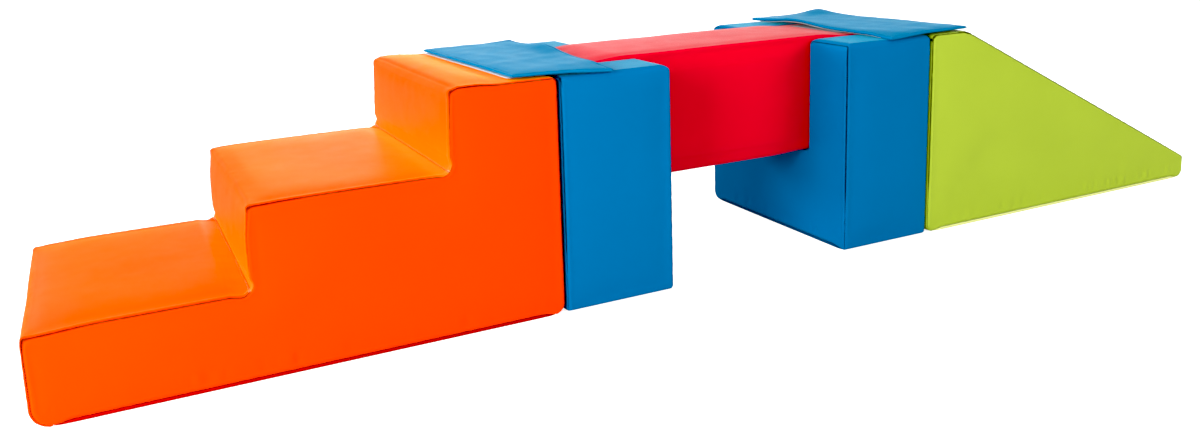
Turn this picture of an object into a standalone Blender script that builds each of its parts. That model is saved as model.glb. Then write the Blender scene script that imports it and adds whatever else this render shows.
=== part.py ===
"""Soft play foam climber: stairs, two notched blocks, a beam laid in the notches, a ramp and two flaps.

Metres, +Z up. The row runs along X from the stairs to the ramp, the front looks towards -Y, and the
origin is on the floor under the middle of the row. Each module is a foam core in a sewn cover.
"""

import math
from collections import namedtuple

import bmesh
import bpy
from mathutils import Vector

# Row
DEPTH = 0.490
HEIGHT = 0.450
MODULE_GAP = 0.004

# Stairs
STEP_COUNT = 3
TREAD_LOWER = 0.340
TREAD_MIDDLE = 0.350
TREAD_UPPER = 0.210

# Notched blocks and the crawl gap between them
BLOCK_THICKNESS = 0.235
CRAWL_WIDTH = 0.430
NOTCH_FLOOR_HEIGHT = 0.200

# Beam
BEAM_WIDTH = 0.242
BEAM_SIDE_CLEARANCE = 0.0015

# Ramp
RAMP_TOP = 0.105
RAMP_RUN = 0.795
RAMP_TOE_HEIGHT = 0.055

# Cover: fabric, how far a seam pulls an edge in, and how far from the seam the face is full again
COVER_THICKNESS = 0.001
FIT_GAP = 0.0003
SEAM_DRAW = 0.004
SEAM_RIM = 0.024
RIM_SHARES = ((0.0, 1.0), (0.35, 0.30), (1.0, 0.0))

# Rounding of the outlines
BASE_RADIUS = 0.020
NOSE_RADIUS = 0.012
TOP_RADIUS = 0.014
TUCK_RADIUS = 0.022
NOTCH_TUCK_RADIUS = 0.008
BEAM_EDGE_RADIUS = 0.012
GLUE_EDGE_RADIUS = 0.002
LEAST_RADIUS = 0.0008

# Joining flaps with hook tape, and the loop tape that they grip
OUTER_LEAF_WIDTH = 0.102
INNER_LEAF_WIDTH = 0.118
FLAP_LENGTH = 0.460
FLAP_THICKNESS = 0.008
FLAP_EDGE_RADIUS = 0.0025
FLAP_CORNER_RADIUS = 0.008
FOLD_RISE = 0.001
TAPE_THICKNESS = 0.001
TAPE_CORNER_RADIUS = 0.002
HOOK_TAPE_WIDTH = 0.050
HOOK_TAPE_LENGTH = 0.430
HOOK_TAPE_MARGIN = 0.004
LOOP_TAPE_OVERREACH = 0.005
LOOP_TAPE_LENGTH = 0.400
BEAM_LOOP_TAPE_LENGTH = 0.180

# Zips under the modules, coil side in, with a groove pressed into the foam above them
LONG_ZIP_LENGTH = 0.600
SHORT_ZIP_LENGTH = 0.340
ZIP_TAPE_WIDTH = 0.026
ZIP_TAPE_THICKNESS = 0.0006
ZIP_SLOT_WIDTH = 0.012
ZIP_SLOT_MARGIN = 0.008
COIL_WIDTH = 0.006
COIL_HEIGHT = 0.0022
SLIDER_LENGTH = 0.014
SLIDER_WALL = 0.0016
SLIDER_NOSE_SHARE = 0.85
GROOVE_MARGIN = 0.002
CUT_OVERRUN = 0.002

# Worked out from the sizes above
FOAM_SKIN = COVER_THICKNESS + FIT_GAP
GLUE_SKIN = FIT_GAP - FOAM_SKIN
RISER = HEIGHT / STEP_COUNT
STEPS_LENGTH = TREAD_LOWER + TREAD_MIDDLE + TREAD_UPPER
RAMP_LENGTH = RAMP_TOP + RAMP_RUN
BEAM_LENGTH = BLOCK_THICKNESS + CRAWL_WIDTH + BLOCK_THICKNESS
BEAM_HEIGHT = HEIGHT - NOTCH_FLOOR_HEIGHT
NOTCH_WIDTH = BEAM_WIDTH + 2 * BEAM_SIDE_CLEARANCE
ROW_LENGTH = STEPS_LENGTH + BEAM_LENGTH + RAMP_LENGTH + 2 * MODULE_GAP
STEPS_X = -ROW_LENGTH / 2
BEAM_X = STEPS_X + STEPS_LENGTH + MODULE_GAP + BEAM_LENGTH / 2
RAMP_X = ROW_LENGTH / 2 - RAMP_LENGTH
LEFT_BLOCK_X = BEAM_X - (CRAWL_WIDTH + BLOCK_THICKNESS) / 2
RIGHT_BLOCK_X = BEAM_X + (CRAWL_WIDTH + BLOCK_THICKNESS) / 2
LEFT_JOINT_X = BEAM_X - (BEAM_LENGTH + MODULE_GAP) / 2
RIGHT_JOINT_X = BEAM_X + (BEAM_LENGTH + MODULE_GAP) / 2
BEAM_BOTTOM = NOTCH_FLOOR_HEIGHT + FIT_GAP
LOOP_TAPE_BOTTOM = BEAM_BOTTOM + BEAM_HEIGHT + FIT_GAP
HOOK_TAPE_BOTTOM = LOOP_TAPE_BOTTOM + TAPE_THICKNESS + FIT_GAP
FLAP_BOTTOM = HOOK_TAPE_BOTTOM + TAPE_THICKNESS + FIT_GAP
FOLD_HEIGHT = FLAP_BOTTOM + FLAP_THICKNESS + FOLD_RISE

# Colours as seen, and how rough each finish is
ORANGE = (0.95, 0.31, 0.03)
BLUE = (0.02, 0.42, 0.72)
RED = (0.86, 0.01, 0.13)
GREEN = (0.66, 0.80, 0.24)
FOAM_CREAM = (0.90, 0.87, 0.72)
TAPE_WHITE = (0.88, 0.88, 0.86)
ZIP_GREY = (0.20, 0.21, 0.23)
SLIDER_METAL = (0.62, 0.62, 0.64)
COVER_ROUGHNESS = 0.45
FOAM_ROUGHNESS = 0.95
TAPE_ROUGHNESS = 0.90
METAL_ROUGHNESS = 0.35

# What an edge of an outline does: it swells between the seams, rests flat, or is glued to more foam
OPEN, RESTS, GLUED = "open", "rests", "glued"
CONVEX_SEGMENTS = 3
TUCK_SEGMENTS = 2
SMALL_ARC_SEGMENTS = 1

Corner = namedtuple("Corner", "a z radius edge")


def clear_scene():
    for old in list(bpy.data.objects):
        bpy.data.objects.remove(old, do_unlink=True)


def linear(colour):
    """A colour as seen, in the linear values that a shader takes."""
    return tuple(((value + 0.055) / 1.055) ** 2.4 if value > 0.04045 else value / 12.92 for value in colour)


def finish(name, colour, roughness, metallic=0.0):
    material = bpy.data.materials.new(name + "_material")
    material.use_nodes = True
    shader = material.node_tree.nodes["Principled BSDF"]
    shader.inputs["Base Color"].default_value = (*linear(colour), 1.0)
    shader.inputs["Roughness"].default_value = roughness
    shader.inputs["Metallic"].default_value = metallic
    return material


def place_empty(name, location):
    empty = bpy.data.objects.new(name, None)
    empty.location = location
    bpy.context.scene.collection.objects.link(empty)
    return empty


def add_object(name, mesh_maker, parent, material):
    """Link one closed solid under its parent empty, its faces turned outwards."""
    mesh_maker.normal_update()
    bmesh.ops.recalc_face_normals(mesh_maker, faces=mesh_maker.faces)
    mesh = bpy.data.meshes.new(name)
    mesh_maker.to_mesh(mesh)
    mesh_maker.free()
    thing = bpy.data.objects.new(name, mesh)
    bpy.context.scene.collection.objects.link(thing)
    thing.parent = parent
    if material:
        mesh.materials.append(material)
    return thing


def add_cutter(name, mesh_maker, parent):
    cutter = add_object(name, mesh_maker, parent, None)
    cutter.hide_render = True
    cutter.display_type = "WIRE"
    return cutter


def cut(target, cutter):
    modifier = target.modifiers.new("cut_" + cutter.name, "BOOLEAN")
    modifier.operation = "DIFFERENCE"
    modifier.solver = "EXACT"
    modifier.object = cutter


def is_tuck(corners, index):
    """True where the outline turns inwards, as in the angle between a tread and the next riser."""
    before, here, after = corners[index - 1], corners[index], corners[(index + 1) % len(corners)]
    return (here.a - before.a) * (after.z - here.z) - (here.z - before.z) * (after.a - here.a) < 0


def arc_segments(corners, index):
    if is_tuck(corners, index):
        return TUCK_SEGMENTS
    return SMALL_ARC_SEGMENTS if corners[index].radius <= GLUE_EDGE_RADIUS else CONVEX_SEGMENTS


def rounded_corner(corners, index, insets):
    """The arc of one corner, once its two edges have moved inwards by their insets."""
    here = Vector((corners[index].a, corners[index].z))
    before = Vector((corners[index - 1].a, corners[index - 1].z))
    after = Vector((corners[(index + 1) % len(corners)].a, corners[(index + 1) % len(corners)].z))
    way_in, way_out = (here - before).normalized(), (after - here).normalized()
    turn_sine = way_in.cross(way_out)
    inset_in, inset_out = insets[index - 1], insets[index]
    peak = here - way_in * (inset_out / turn_sine) + way_out * (inset_in / turn_sine)
    turn = math.atan2(turn_sine, way_in.dot(way_out))
    side = math.copysign(1, turn)
    radius = max(corners[index].radius - side * max(inset_in, inset_out), LEAST_RADIUS)
    start = peak - way_in * (radius * math.tan(abs(turn) / 2))
    centre = start + Vector((-way_in.y, way_in.x)) * (radius * side)
    arm = start - centre
    steps = arc_segments(corners, index)
    points = []
    for step in range(steps + 1):
        angle = turn * step / steps
        cosine, sine = math.cos(angle), math.sin(angle)
        points.append((centre.x + arm.x * cosine - arm.y * sine, centre.y + arm.x * sine + arm.y * cosine))
    return points


def outline(corners, insets):
    points = []
    for index in range(len(corners)):
        points += rounded_corner(corners, index, insets)
    return points


def edge_insets(corners, draw, skin):
    """Insets of the edges beside a seam: open edges are drawn in, resting and glued ones stay flat."""
    by_edge = {OPEN: draw + skin, RESTS: skin, GLUED: GLUE_SKIN}
    return [by_edge[corner.edge] for corner in corners]


def mark(corners, index, share):
    """Number of the outline point at a corner's arc: share 0 is its start, 1 its end."""
    before = sum(arc_segments(corners, number) + 1 for number in range(index))
    return before + round(arc_segments(corners, index) * share)


def join_rings(mesh_maker, rings, cap=True):
    """Quads between rings of equal counts, with a flat cap on the first and the last."""
    rows = [[mesh_maker.verts.new(point) for point in ring] for ring in rings]
    count = len(rows[0])
    for row, following in zip(rows, rows[1:]):
        for index in range(count):
            onward = (index + 1) % count
            mesh_maker.faces.new((row[index], row[onward], following[onward], following[index]))
    if cap:
        mesh_maker.faces.new(rows[0])
        mesh_maker.faces.new(rows[-1])
    return rows


class Module:
    """One padded module: an outline in the plane of a and z, swept along b between two side seams."""

    def __init__(self, name, corners, half_width, place, location, colour):
        self.name = name
        self.corners = corners
        self.half_width = half_width
        self.place = place
        self.colour = colour
        self.empty = place_empty(name + "_module", location)
        self.reaches = [share * SEAM_RIM for share, _ in RIM_SHARES]
        self.draws = [share * SEAM_DRAW for _, share in RIM_SHARES]

    def ring(self, corners, b, insets):
        return [self.place(a, b, z) for a, z in outline(corners, insets)]

    def stations(self, first):
        """Places across the module, with how far the cover is drawn in there, from seam to seam."""
        near = [(first - self.half_width, self.draws[0])]
        near += [(reach - self.half_width, draw) for reach, draw in zip(self.reaches[1:], self.draws[1:])]
        return near + [(-b, draw) for b, draw in reversed(near)]

    def face_rings(self, corners, skin):
        """Rings of the front face from its flat middle out to the seam."""
        rings = []
        for reach, draw in list(zip(self.reaches, self.draws))[:0:-1]:
            rings.append((skin + draw - self.half_width, [max(reach, skin)] * len(corners)))
        rings.append((skin + self.draws[0] - self.half_width, edge_insets(corners, self.draws[0], skin)))
        return rings

    def foam(self, name, corners):
        near = self.face_rings(corners, FOAM_SKIN)
        across = self.stations(FOAM_SKIN + self.draws[0])[1:-1]
        middle = [(b, edge_insets(corners, draw, FOAM_SKIN)) for b, draw in across]
        far = [(-b, insets) for b, insets in reversed(near)]
        mesh_maker = bmesh.new()
        join_rings(mesh_maker, [self.ring(corners, b, insets) for b, insets in near + middle + far])
        return add_object(name, mesh_maker, self.empty, finish(name, FOAM_CREAM, FOAM_ROUGHNESS))

    def side_panel(self, name, side):
        """One side of the cover, cut to the outline and drawn in at its seam; side is -1 or 1."""
        outer = self.face_rings(self.corners, 0.0)
        inner = [(b + COVER_THICKNESS, insets) for b, insets in reversed(outer)]
        mesh_maker = bmesh.new()
        join_rings(mesh_maker, [self.ring(self.corners, -side * b, insets) for b, insets in outer + inner])
        return add_object(name, mesh_maker, self.empty, finish(name, self.colour, COVER_ROUGHNESS))

    def path(self, first, last, insets):
        """Outline points from one mark to another, pulled back from both ends by half the fitting gap."""
        points = [Vector(point) for point in outline(self.corners, insets)]
        count = len(points)
        steps = (last - first) % count
        run = [points[(first + step) % count].copy() for step in range(steps + 1)]
        run[0] += (run[1] - run[0]).normalized() * FIT_GAP / 2
        run[-1] += (run[-2] - run[-1]).normalized() * FIT_GAP / 2
        return run

    def strip(self, name, first, last):
        """A strip of the wrap, from one outline point round to another and from side seam to side seam."""
        mesh_maker = bmesh.new()
        outer, inner = [], []
        for b, draw in self.stations(FOAM_SKIN + self.draws[0]):
            out_run = self.path(first, last, edge_insets(self.corners, draw, 0.0))
            in_run = self.path(first, last, edge_insets(self.corners, draw, COVER_THICKNESS))
            outer.append([mesh_maker.verts.new(self.place(a, b, z)) for a, z in out_run])
            inner.append([mesh_maker.verts.new(self.place(a, b, z)) for a, z in in_run])
        self.skin_between(mesh_maker, outer, inner, closed=False)
        return add_object(name, mesh_maker, self.empty, finish(name, self.colour, COVER_ROUGHNESS))

    def band(self, name):
        """A wrap that runs all the way round the outline."""
        mesh_maker = bmesh.new()
        outer, inner = [], []
        for b, draw in self.stations(FOAM_SKIN + self.draws[0]):
            out_ring = self.ring(self.corners, b, edge_insets(self.corners, draw, 0.0))
            in_ring = self.ring(self.corners, b, edge_insets(self.corners, draw, COVER_THICKNESS))
            outer.append([mesh_maker.verts.new(point) for point in out_ring])
            inner.append([mesh_maker.verts.new(point) for point in in_ring])
        self.skin_between(mesh_maker, outer, inner, closed=True)
        return add_object(name, mesh_maker, self.empty, finish(name, self.colour, COVER_ROUGHNESS))

    @staticmethod
    def skin_between(mesh_maker, outer, inner, closed):
        """Faces of a thin sheet between two grids of points, with its rim closed."""
        count = len(outer[0])
        spans = [(index, (index + 1) % count) for index in range(count if closed else count - 1)]
        for grid in (outer, inner):
            for row, following in zip(grid, grid[1:]):
                for index, onward in spans:
                    mesh_maker.faces.new((row[index], row[onward], following[onward], following[index]))
        for row_out, row_in in ((outer[0], inner[0]), (outer[-1], inner[-1])):
            for index, onward in spans:
                mesh_maker.faces.new((row_out[index], row_out[onward], row_in[onward], row_in[index]))
        if closed:
            return
        for end in (0, -1):
            for number in range(len(outer) - 1):
                rim = (outer[number][end], outer[number + 1][end], inner[number + 1][end], inner[number][end])
                mesh_maker.faces.new(rim)

    def run_point(self, along_a, centre_a, run, across, z):
        """A point of something that runs along a or along b under the module."""
        if along_a:
            return self.place(centre_a + run, across, z)
        return self.place(centre_a + across, run, z)

    def box_along(self, along_a, centre_a, length, half_across, low, high):
        mesh_maker = bmesh.new()
        rings = []
        for run in (-length / 2, length / 2):
            square = ((-half_across, low), (half_across, low), (half_across, high), (-half_across, high))
            rings.append([self.run_point(along_a, centre_a, run, across, z) for across, z in square])
        join_rings(mesh_maker, rings)
        return mesh_maker

    def zip_run(self, along_a, centre_a, length, panel, foam):
        """The zip on the inside of a base panel: its tape and coil, its slider, their slot and groove."""
        tape_low = FOAM_SKIN
        tape_high = tape_low + ZIP_TAPE_THICKNESS
        coil_high = tape_high + COIL_HEIGHT
        slider_high = coil_high + FIT_GAP + SLIDER_WALL
        half_tape, half_coil = ZIP_TAPE_WIDTH / 2, COIL_WIDTH / 2
        section = (
            (-half_tape, tape_low), (half_tape, tape_low), (half_tape, tape_high), (half_coil, tape_high),
            (half_coil, coil_high), (-half_coil, coil_high), (-half_coil, tape_high), (-half_tape, tape_high),
        )
        mesh_maker = bmesh.new()
        rings = []
        for run in (-length / 2, length / 2):
            rings.append([self.run_point(along_a, centre_a, run, across, z) for across, z in section])
        join_rings(mesh_maker, rings)
        name = self.name + "_zip"
        add_object(name, mesh_maker, self.empty, finish(name, ZIP_GREY, TAPE_ROUGHNESS))

        slot_length = length - 2 * ZIP_SLOT_MARGIN
        slot_top = COVER_THICKNESS + CUT_OVERRUN
        slot = self.box_along(along_a, centre_a, slot_length, ZIP_SLOT_WIDTH / 2, -CUT_OVERRUN, slot_top)
        cut(panel, add_cutter(name + "_slot", slot, self.empty))
        groove_length = length + 2 * FIT_GAP
        groove_top = slider_high + FIT_GAP
        half_groove = half_tape + GROOVE_MARGIN
        groove = self.box_along(along_a, centre_a, groove_length, half_groove, -CUT_OVERRUN, groove_top)
        cut(foam, add_cutter(name + "_groove", groove, self.empty))

        self.zip_slider(along_a, centre_a, length, tape_high + FIT_GAP, coil_high + FIT_GAP, slider_high)

    def zip_slider(self, along_a, centre_a, length, low, roof, high):
        """A saddle over the coil, narrower at its nose, at the zip's closed end."""
        inner = COIL_WIDTH / 2 + FIT_GAP
        start = -length / 2
        mesh_maker = bmesh.new()
        rings = []
        for share, width_share in ((0.0, 1.0), (0.5, 1.0), (1.0, SLIDER_NOSE_SHARE)):
            outer = inner + SLIDER_WALL * width_share
            section = (
                (-outer, low), (-inner, low), (-inner, roof), (inner, roof),
                (inner, low), (outer, low), (outer, high), (-outer, high),
            )
            run = share * SLIDER_LENGTH
            rings.append([self.run_point(along_a, 0.0, run, across, z) for across, z in section])
        join_rings(mesh_maker, rings)
        name = self.name + "_zip_slider"
        slider = add_object(name, mesh_maker, self.empty, finish(name, SLIDER_METAL, METAL_ROUGHNESS, 1.0))
        slider.location = self.run_point(along_a, centre_a, start, 0.0, 0.0)


def plate(name, low, high, thickness_range, radius, edge, parent, material):
    """A flat piece in the plane of X and Y with rounded corners; edge is how much its rims are eased."""
    corners = (
        Corner(low[0], low[1], radius, OPEN), Corner(high[0], low[1], radius, OPEN),
        Corner(high[0], high[1], radius, OPEN), Corner(low[0], high[1], radius, OPEN),
    )
    bottom, top = thickness_range
    levels = [(bottom, 0.0), (top, 0.0)]
    if edge:
        levels = [(bottom, edge), (bottom + edge, 0.0), (top - edge, 0.0), (top, edge)]
    mesh_maker = bmesh.new()
    rings = [[(x, y, z) for x, y in outline(corners, [inset] * len(corners))] for z, inset in levels]
    join_rings(mesh_maker, rings)
    return add_object(name, mesh_maker, parent, material)


def sweep_across(a, b, z):
    """Stairs and ramp: the outline lies along the row and is swept across it."""
    return (a, b, z)


def sweep_along(a, b, z):
    """Blocks and beam: the outline lies across the row and is swept along it."""
    return (b, a, z)


def slab(low_a, high_a, low_z, high_z, radii, edges):
    """A rectangle's corners in order from the low one, each with its radius and the edge after it."""
    places = ((low_a, low_z), (high_a, low_z), (high_a, high_z), (low_a, high_z))
    return [Corner(a, z, radius, edge) for (a, z), radius, edge in zip(places, radii, edges)]


def build_stairs():
    first_riser, second_riser = TREAD_LOWER, TREAD_LOWER + TREAD_MIDDLE
    corners = [
        Corner(0.0, 0.0, BASE_RADIUS, RESTS),
        Corner(STEPS_LENGTH, 0.0, BASE_RADIUS, OPEN),
        Corner(STEPS_LENGTH, HEIGHT, TOP_RADIUS, OPEN),
        Corner(second_riser, HEIGHT, NOSE_RADIUS, OPEN),
        Corner(second_riser, 2 * RISER, TUCK_RADIUS, OPEN),
        Corner(first_riser, 2 * RISER, NOSE_RADIUS, OPEN),
        Corner(first_riser, RISER, TUCK_RADIUS, OPEN),
        Corner(0.0, RISER, NOSE_RADIUS, OPEN),
    ]
    stairs = Module("steps", corners, DEPTH / 2, sweep_across, (STEPS_X, 0.0, 0.0), ORANGE)
    glue = GLUE_EDGE_RADIUS
    lower = stairs.foam("steps_foam_lower", slab(
        0.0, STEPS_LENGTH, 0.0, RISER,
        (BASE_RADIUS, BASE_RADIUS, glue, NOSE_RADIUS), (RESTS, OPEN, OPEN, OPEN)))
    stairs.foam("steps_foam_middle", slab(
        first_riser, STEPS_LENGTH, RISER, 2 * RISER,
        (glue, glue, glue, NOSE_RADIUS), (GLUED, OPEN, OPEN, OPEN)))
    stairs.foam("steps_foam_upper", slab(
        second_riser, STEPS_LENGTH, 2 * RISER, HEIGHT,
        (glue, glue, TOP_RADIUS, NOSE_RADIUS), (GLUED, OPEN, OPEN, OPEN)))
    stairs.side_panel("steps_front_panel", -1)
    stairs.side_panel("steps_rear_panel", 1)
    floor_start, floor_end = mark(corners, 0, 1.0), mark(corners, 1, 0.0)
    top_start = mark(corners, 2, 0.0)
    upper_tuck, lower_tuck = mark(corners, 4, 0.5), mark(corners, 6, 0.5)
    base = stairs.strip("steps_base_panel", floor_start, floor_end)
    stairs.strip("steps_end_panel", floor_end, top_start)
    stairs.strip("steps_wrap_upper", top_start, upper_tuck)
    stairs.strip("steps_wrap_middle", upper_tuck, lower_tuck)
    stairs.strip("steps_wrap_lower", lower_tuck, floor_start)
    stairs.zip_run(True, STEPS_LENGTH / 2, LONG_ZIP_LENGTH, base, lower)
    return stairs


def build_block(name, centre_x):
    half_depth, half_notch = DEPTH / 2, NOTCH_WIDTH / 2
    corners = [
        Corner(-half_depth, 0.0, BASE_RADIUS, RESTS),
        Corner(half_depth, 0.0, BASE_RADIUS, OPEN),
        Corner(half_depth, HEIGHT, TOP_RADIUS, OPEN),
        Corner(half_notch, HEIGHT, TOP_RADIUS, OPEN),
        Corner(half_notch, NOTCH_FLOOR_HEIGHT, NOTCH_TUCK_RADIUS, RESTS),
        Corner(-half_notch, NOTCH_FLOOR_HEIGHT, NOTCH_TUCK_RADIUS, OPEN),
        Corner(-half_notch, HEIGHT, TOP_RADIUS, OPEN),
        Corner(-half_depth, HEIGHT, TOP_RADIUS, OPEN),
    ]
    block = Module(name, corners, BLOCK_THICKNESS / 2, sweep_along, (centre_x, 0.0, 0.0), BLUE)
    glue = GLUE_EDGE_RADIUS
    base_foam = block.foam(name + "_foam_base", slab(
        -half_depth, half_depth, 0.0, NOTCH_FLOOR_HEIGHT, (BASE_RADIUS, BASE_RADIUS, glue, glue),
        (RESTS, OPEN, RESTS, OPEN)))
    post_edges = (GLUED, OPEN, OPEN, OPEN)
    post_radii = (glue, glue, TOP_RADIUS, TOP_RADIUS)
    block.foam(name + "_foam_front_post", slab(
        -half_depth, -half_notch, NOTCH_FLOOR_HEIGHT, HEIGHT, post_radii, post_edges))
    block.foam(name + "_foam_rear_post", slab(
        half_notch, half_depth, NOTCH_FLOOR_HEIGHT, HEIGHT, post_radii, post_edges))
    block.side_panel(name + "_left_panel", -1)
    block.side_panel(name + "_right_panel", 1)
    floor_start, floor_end = mark(corners, 0, 1.0), mark(corners, 1, 0.0)
    base = block.strip(name + "_base_panel", floor_start, floor_end)
    block.strip(name + "_wrap", floor_end, floor_start)
    block.zip_run(True, 0.0, SHORT_ZIP_LENGTH, base, base_foam)
    return block


def build_beam():
    half = BEAM_WIDTH / 2
    radii = (BEAM_EDGE_RADIUS,) * 4
    corners = slab(-half, half, 0.0, BEAM_HEIGHT, radii, (RESTS, OPEN, OPEN, OPEN))
    beam = Module("beam", corners, BEAM_LENGTH / 2, sweep_along, (BEAM_X, 0.0, BEAM_BOTTOM), RED)
    foam = beam.foam("beam_foam", corners)
    beam.side_panel("beam_left_cap", -1)
    beam.side_panel("beam_right_cap", 1)
    wrap = beam.band("beam_wrap")
    beam.zip_run(False, 0.0, LONG_ZIP_LENGTH, wrap, foam)
    return beam


def build_ramp():
    corners = [
        Corner(0.0, 0.0, BASE_RADIUS, RESTS),
        Corner(RAMP_LENGTH, 0.0, BASE_RADIUS, OPEN),
        Corner(RAMP_LENGTH, RAMP_TOE_HEIGHT, NOSE_RADIUS, OPEN),
        Corner(RAMP_TOP, HEIGHT, TOP_RADIUS, OPEN),
        Corner(0.0, HEIGHT, TOP_RADIUS, OPEN),
    ]
    ramp = Module("ramp", corners, DEPTH / 2, sweep_across, (RAMP_X, 0.0, 0.0), GREEN)
    foam = ramp.foam("ramp_foam", corners)
    ramp.side_panel("ramp_front_panel", -1)
    ramp.side_panel("ramp_rear_panel", 1)
    floor_start, floor_end = mark(corners, 0, 1.0), mark(corners, 1, 0.0)
    back_top = mark(corners, 4, 1.0)
    base = ramp.strip("ramp_base_panel", floor_start, floor_end)
    ramp.strip("ramp_top_wrap", floor_end, back_top)
    ramp.strip("ramp_end_panel", back_top, floor_start)
    ramp.zip_run(True, RAMP_LENGTH / 2, LONG_ZIP_LENGTH, base, foam)
    return ramp


def build_loop_tape(name, module, joint_x, side, leaf_width, length):
    """Loop tape sewn flat under a leaf's hook tape; side is -1 for left of the joint and 1 for right."""
    hook_far = leaf_width - HOOK_TAPE_MARGIN
    far = joint_x + side * (hook_far + LOOP_TAPE_OVERREACH)
    near = joint_x + side * (hook_far - HOOK_TAPE_WIDTH - LOOP_TAPE_OVERREACH)
    home = module.empty.location
    low = (min(near, far) - home.x, -length / 2)
    high = (max(near, far) - home.x, length / 2)
    levels = (LOOP_TAPE_BOTTOM - home.z, LOOP_TAPE_BOTTOM - home.z + TAPE_THICKNESS)
    material = finish(name, TAPE_WHITE, TAPE_ROUGHNESS)
    plate(name, low, high, levels, TAPE_CORNER_RADIUS, 0.0, module.empty, material)


def build_flap(name, joint_x, outer_side):
    """A padded mat over a joint: an inner leaf on the beam's end, an outer leaf that folds up from it."""
    fold = place_empty(name + "_fold", (joint_x, 0.0, FOLD_HEIGHT))
    leaf_levels = (FLAP_BOTTOM - FOLD_HEIGHT, FLAP_BOTTOM + FLAP_THICKNESS - FOLD_HEIGHT)
    tape_levels = (HOOK_TAPE_BOTTOM - FOLD_HEIGHT, HOOK_TAPE_BOTTOM + TAPE_THICKNESS - FOLD_HEIGHT)
    leaves = (("outer", outer_side, OUTER_LEAF_WIDTH), ("inner", -outer_side, INNER_LEAF_WIDTH))
    for leaf, side, width in leaves:
        near, far = side * FIT_GAP / 2, side * width
        leaf_name = f"{name}_{leaf}_leaf"
        plate(leaf_name, (min(near, far), -FLAP_LENGTH / 2), (max(near, far), FLAP_LENGTH / 2), leaf_levels,
              FLAP_CORNER_RADIUS, FLAP_EDGE_RADIUS, fold, finish(leaf_name, BLUE, COVER_ROUGHNESS))
        tape_far = side * (width - HOOK_TAPE_MARGIN)
        tape_near = tape_far - side * HOOK_TAPE_WIDTH
        tape_name = f"{name}_{leaf}_hook_tape"
        plate(tape_name, (min(tape_near, tape_far), -HOOK_TAPE_LENGTH / 2),
              (max(tape_near, tape_far), HOOK_TAPE_LENGTH / 2), tape_levels,
              TAPE_CORNER_RADIUS, 0.0, fold, finish(tape_name, TAPE_WHITE, TAPE_ROUGHNESS))


clear_scene()
stairs = build_stairs()
build_block("left_block", LEFT_BLOCK_X)
build_block("right_block", RIGHT_BLOCK_X)
beam = build_beam()
ramp = build_ramp()
build_loop_tape("steps_loop_tape", stairs, LEFT_JOINT_X, -1, OUTER_LEAF_WIDTH, LOOP_TAPE_LENGTH)
build_loop_tape("beam_left_loop_tape", beam, LEFT_JOINT_X, 1, INNER_LEAF_WIDTH, BEAM_LOOP_TAPE_LENGTH)
build_loop_tape("beam_right_loop_tape", beam, RIGHT_JOINT_X, -1, INNER_LEAF_WIDTH, BEAM_LOOP_TAPE_LENGTH)
build_loop_tape("ramp_loop_tape", ramp, RIGHT_JOINT_X, 1, OUTER_LEAF_WIDTH, LOOP_TAPE_LENGTH)
build_flap("left_flap", LEFT_JOINT_X, -1)
build_flap("right_flap", RIGHT_JOINT_X, 1)
bpy.context.view_layer.update()
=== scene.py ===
"""Soft play foam climber: its covers, seams, flaps, tapes, zips and foam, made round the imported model."""

import math

import bmesh
import bpy
import numpy as np
from mathutils import Matrix, Vector
from mathutils.bvhtree import BVHTree
from mathutils.geometry import delaunay_2d_cdt
from mathutils.kdtree import KDTree


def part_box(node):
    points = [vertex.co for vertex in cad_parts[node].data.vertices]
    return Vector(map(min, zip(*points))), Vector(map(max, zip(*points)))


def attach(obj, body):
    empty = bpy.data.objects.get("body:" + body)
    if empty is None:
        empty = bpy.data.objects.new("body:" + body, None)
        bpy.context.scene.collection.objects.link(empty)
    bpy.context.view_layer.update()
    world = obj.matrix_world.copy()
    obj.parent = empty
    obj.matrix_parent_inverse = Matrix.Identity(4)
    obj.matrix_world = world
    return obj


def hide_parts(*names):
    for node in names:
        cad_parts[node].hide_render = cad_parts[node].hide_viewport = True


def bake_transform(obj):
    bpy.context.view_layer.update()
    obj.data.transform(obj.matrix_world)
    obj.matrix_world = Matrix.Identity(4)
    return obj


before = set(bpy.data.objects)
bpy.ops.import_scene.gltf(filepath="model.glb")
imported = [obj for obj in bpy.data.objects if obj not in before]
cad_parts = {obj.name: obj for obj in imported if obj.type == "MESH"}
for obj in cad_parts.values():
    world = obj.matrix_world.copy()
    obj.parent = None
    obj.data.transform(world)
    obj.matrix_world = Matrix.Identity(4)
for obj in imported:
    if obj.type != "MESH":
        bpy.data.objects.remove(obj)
scene = bpy.context.scene
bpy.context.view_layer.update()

# The room: a pale floor and the broad white light of a studio. The camera stands low, in front of the
# stairs' end, and looks along the row, with its sensor shifted down as in the cropped photograph.
PHOTO_WIDTH, FOCAL_PX, CENTRE_SHIFT_PX, SENSOR_WIDTH_MM = 1200, 991.5, (-52.1, -120.0), 36.0
CAMERA_PLACE = (-1.2099, -1.8356, 0.7361)
CAMERA_YAW, CAMERA_PITCH, CAMERA_ROLL = 0.4327, -0.1802, -0.0379
NEAREST_SEEN, BLACK_LEVEL = 0.05, 0.028
FLOOR_HALF, FLOOR_LIFT, FLOOR_TONE, FLOOR_MIRRORED = 30.0, 0.84, 0.76, 0.14
FLOOR_ROUGHNESS, FLOOR_GLOSS = 0.6, 0.1
SKY_LIGHT, SKY_MIRRORED, BACKDROP_WHITE = 0.38, 0.20, 1.1
WHITE, BLACK = (1, 1, 1, 1), (0, 0, 0, 1)
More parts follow.
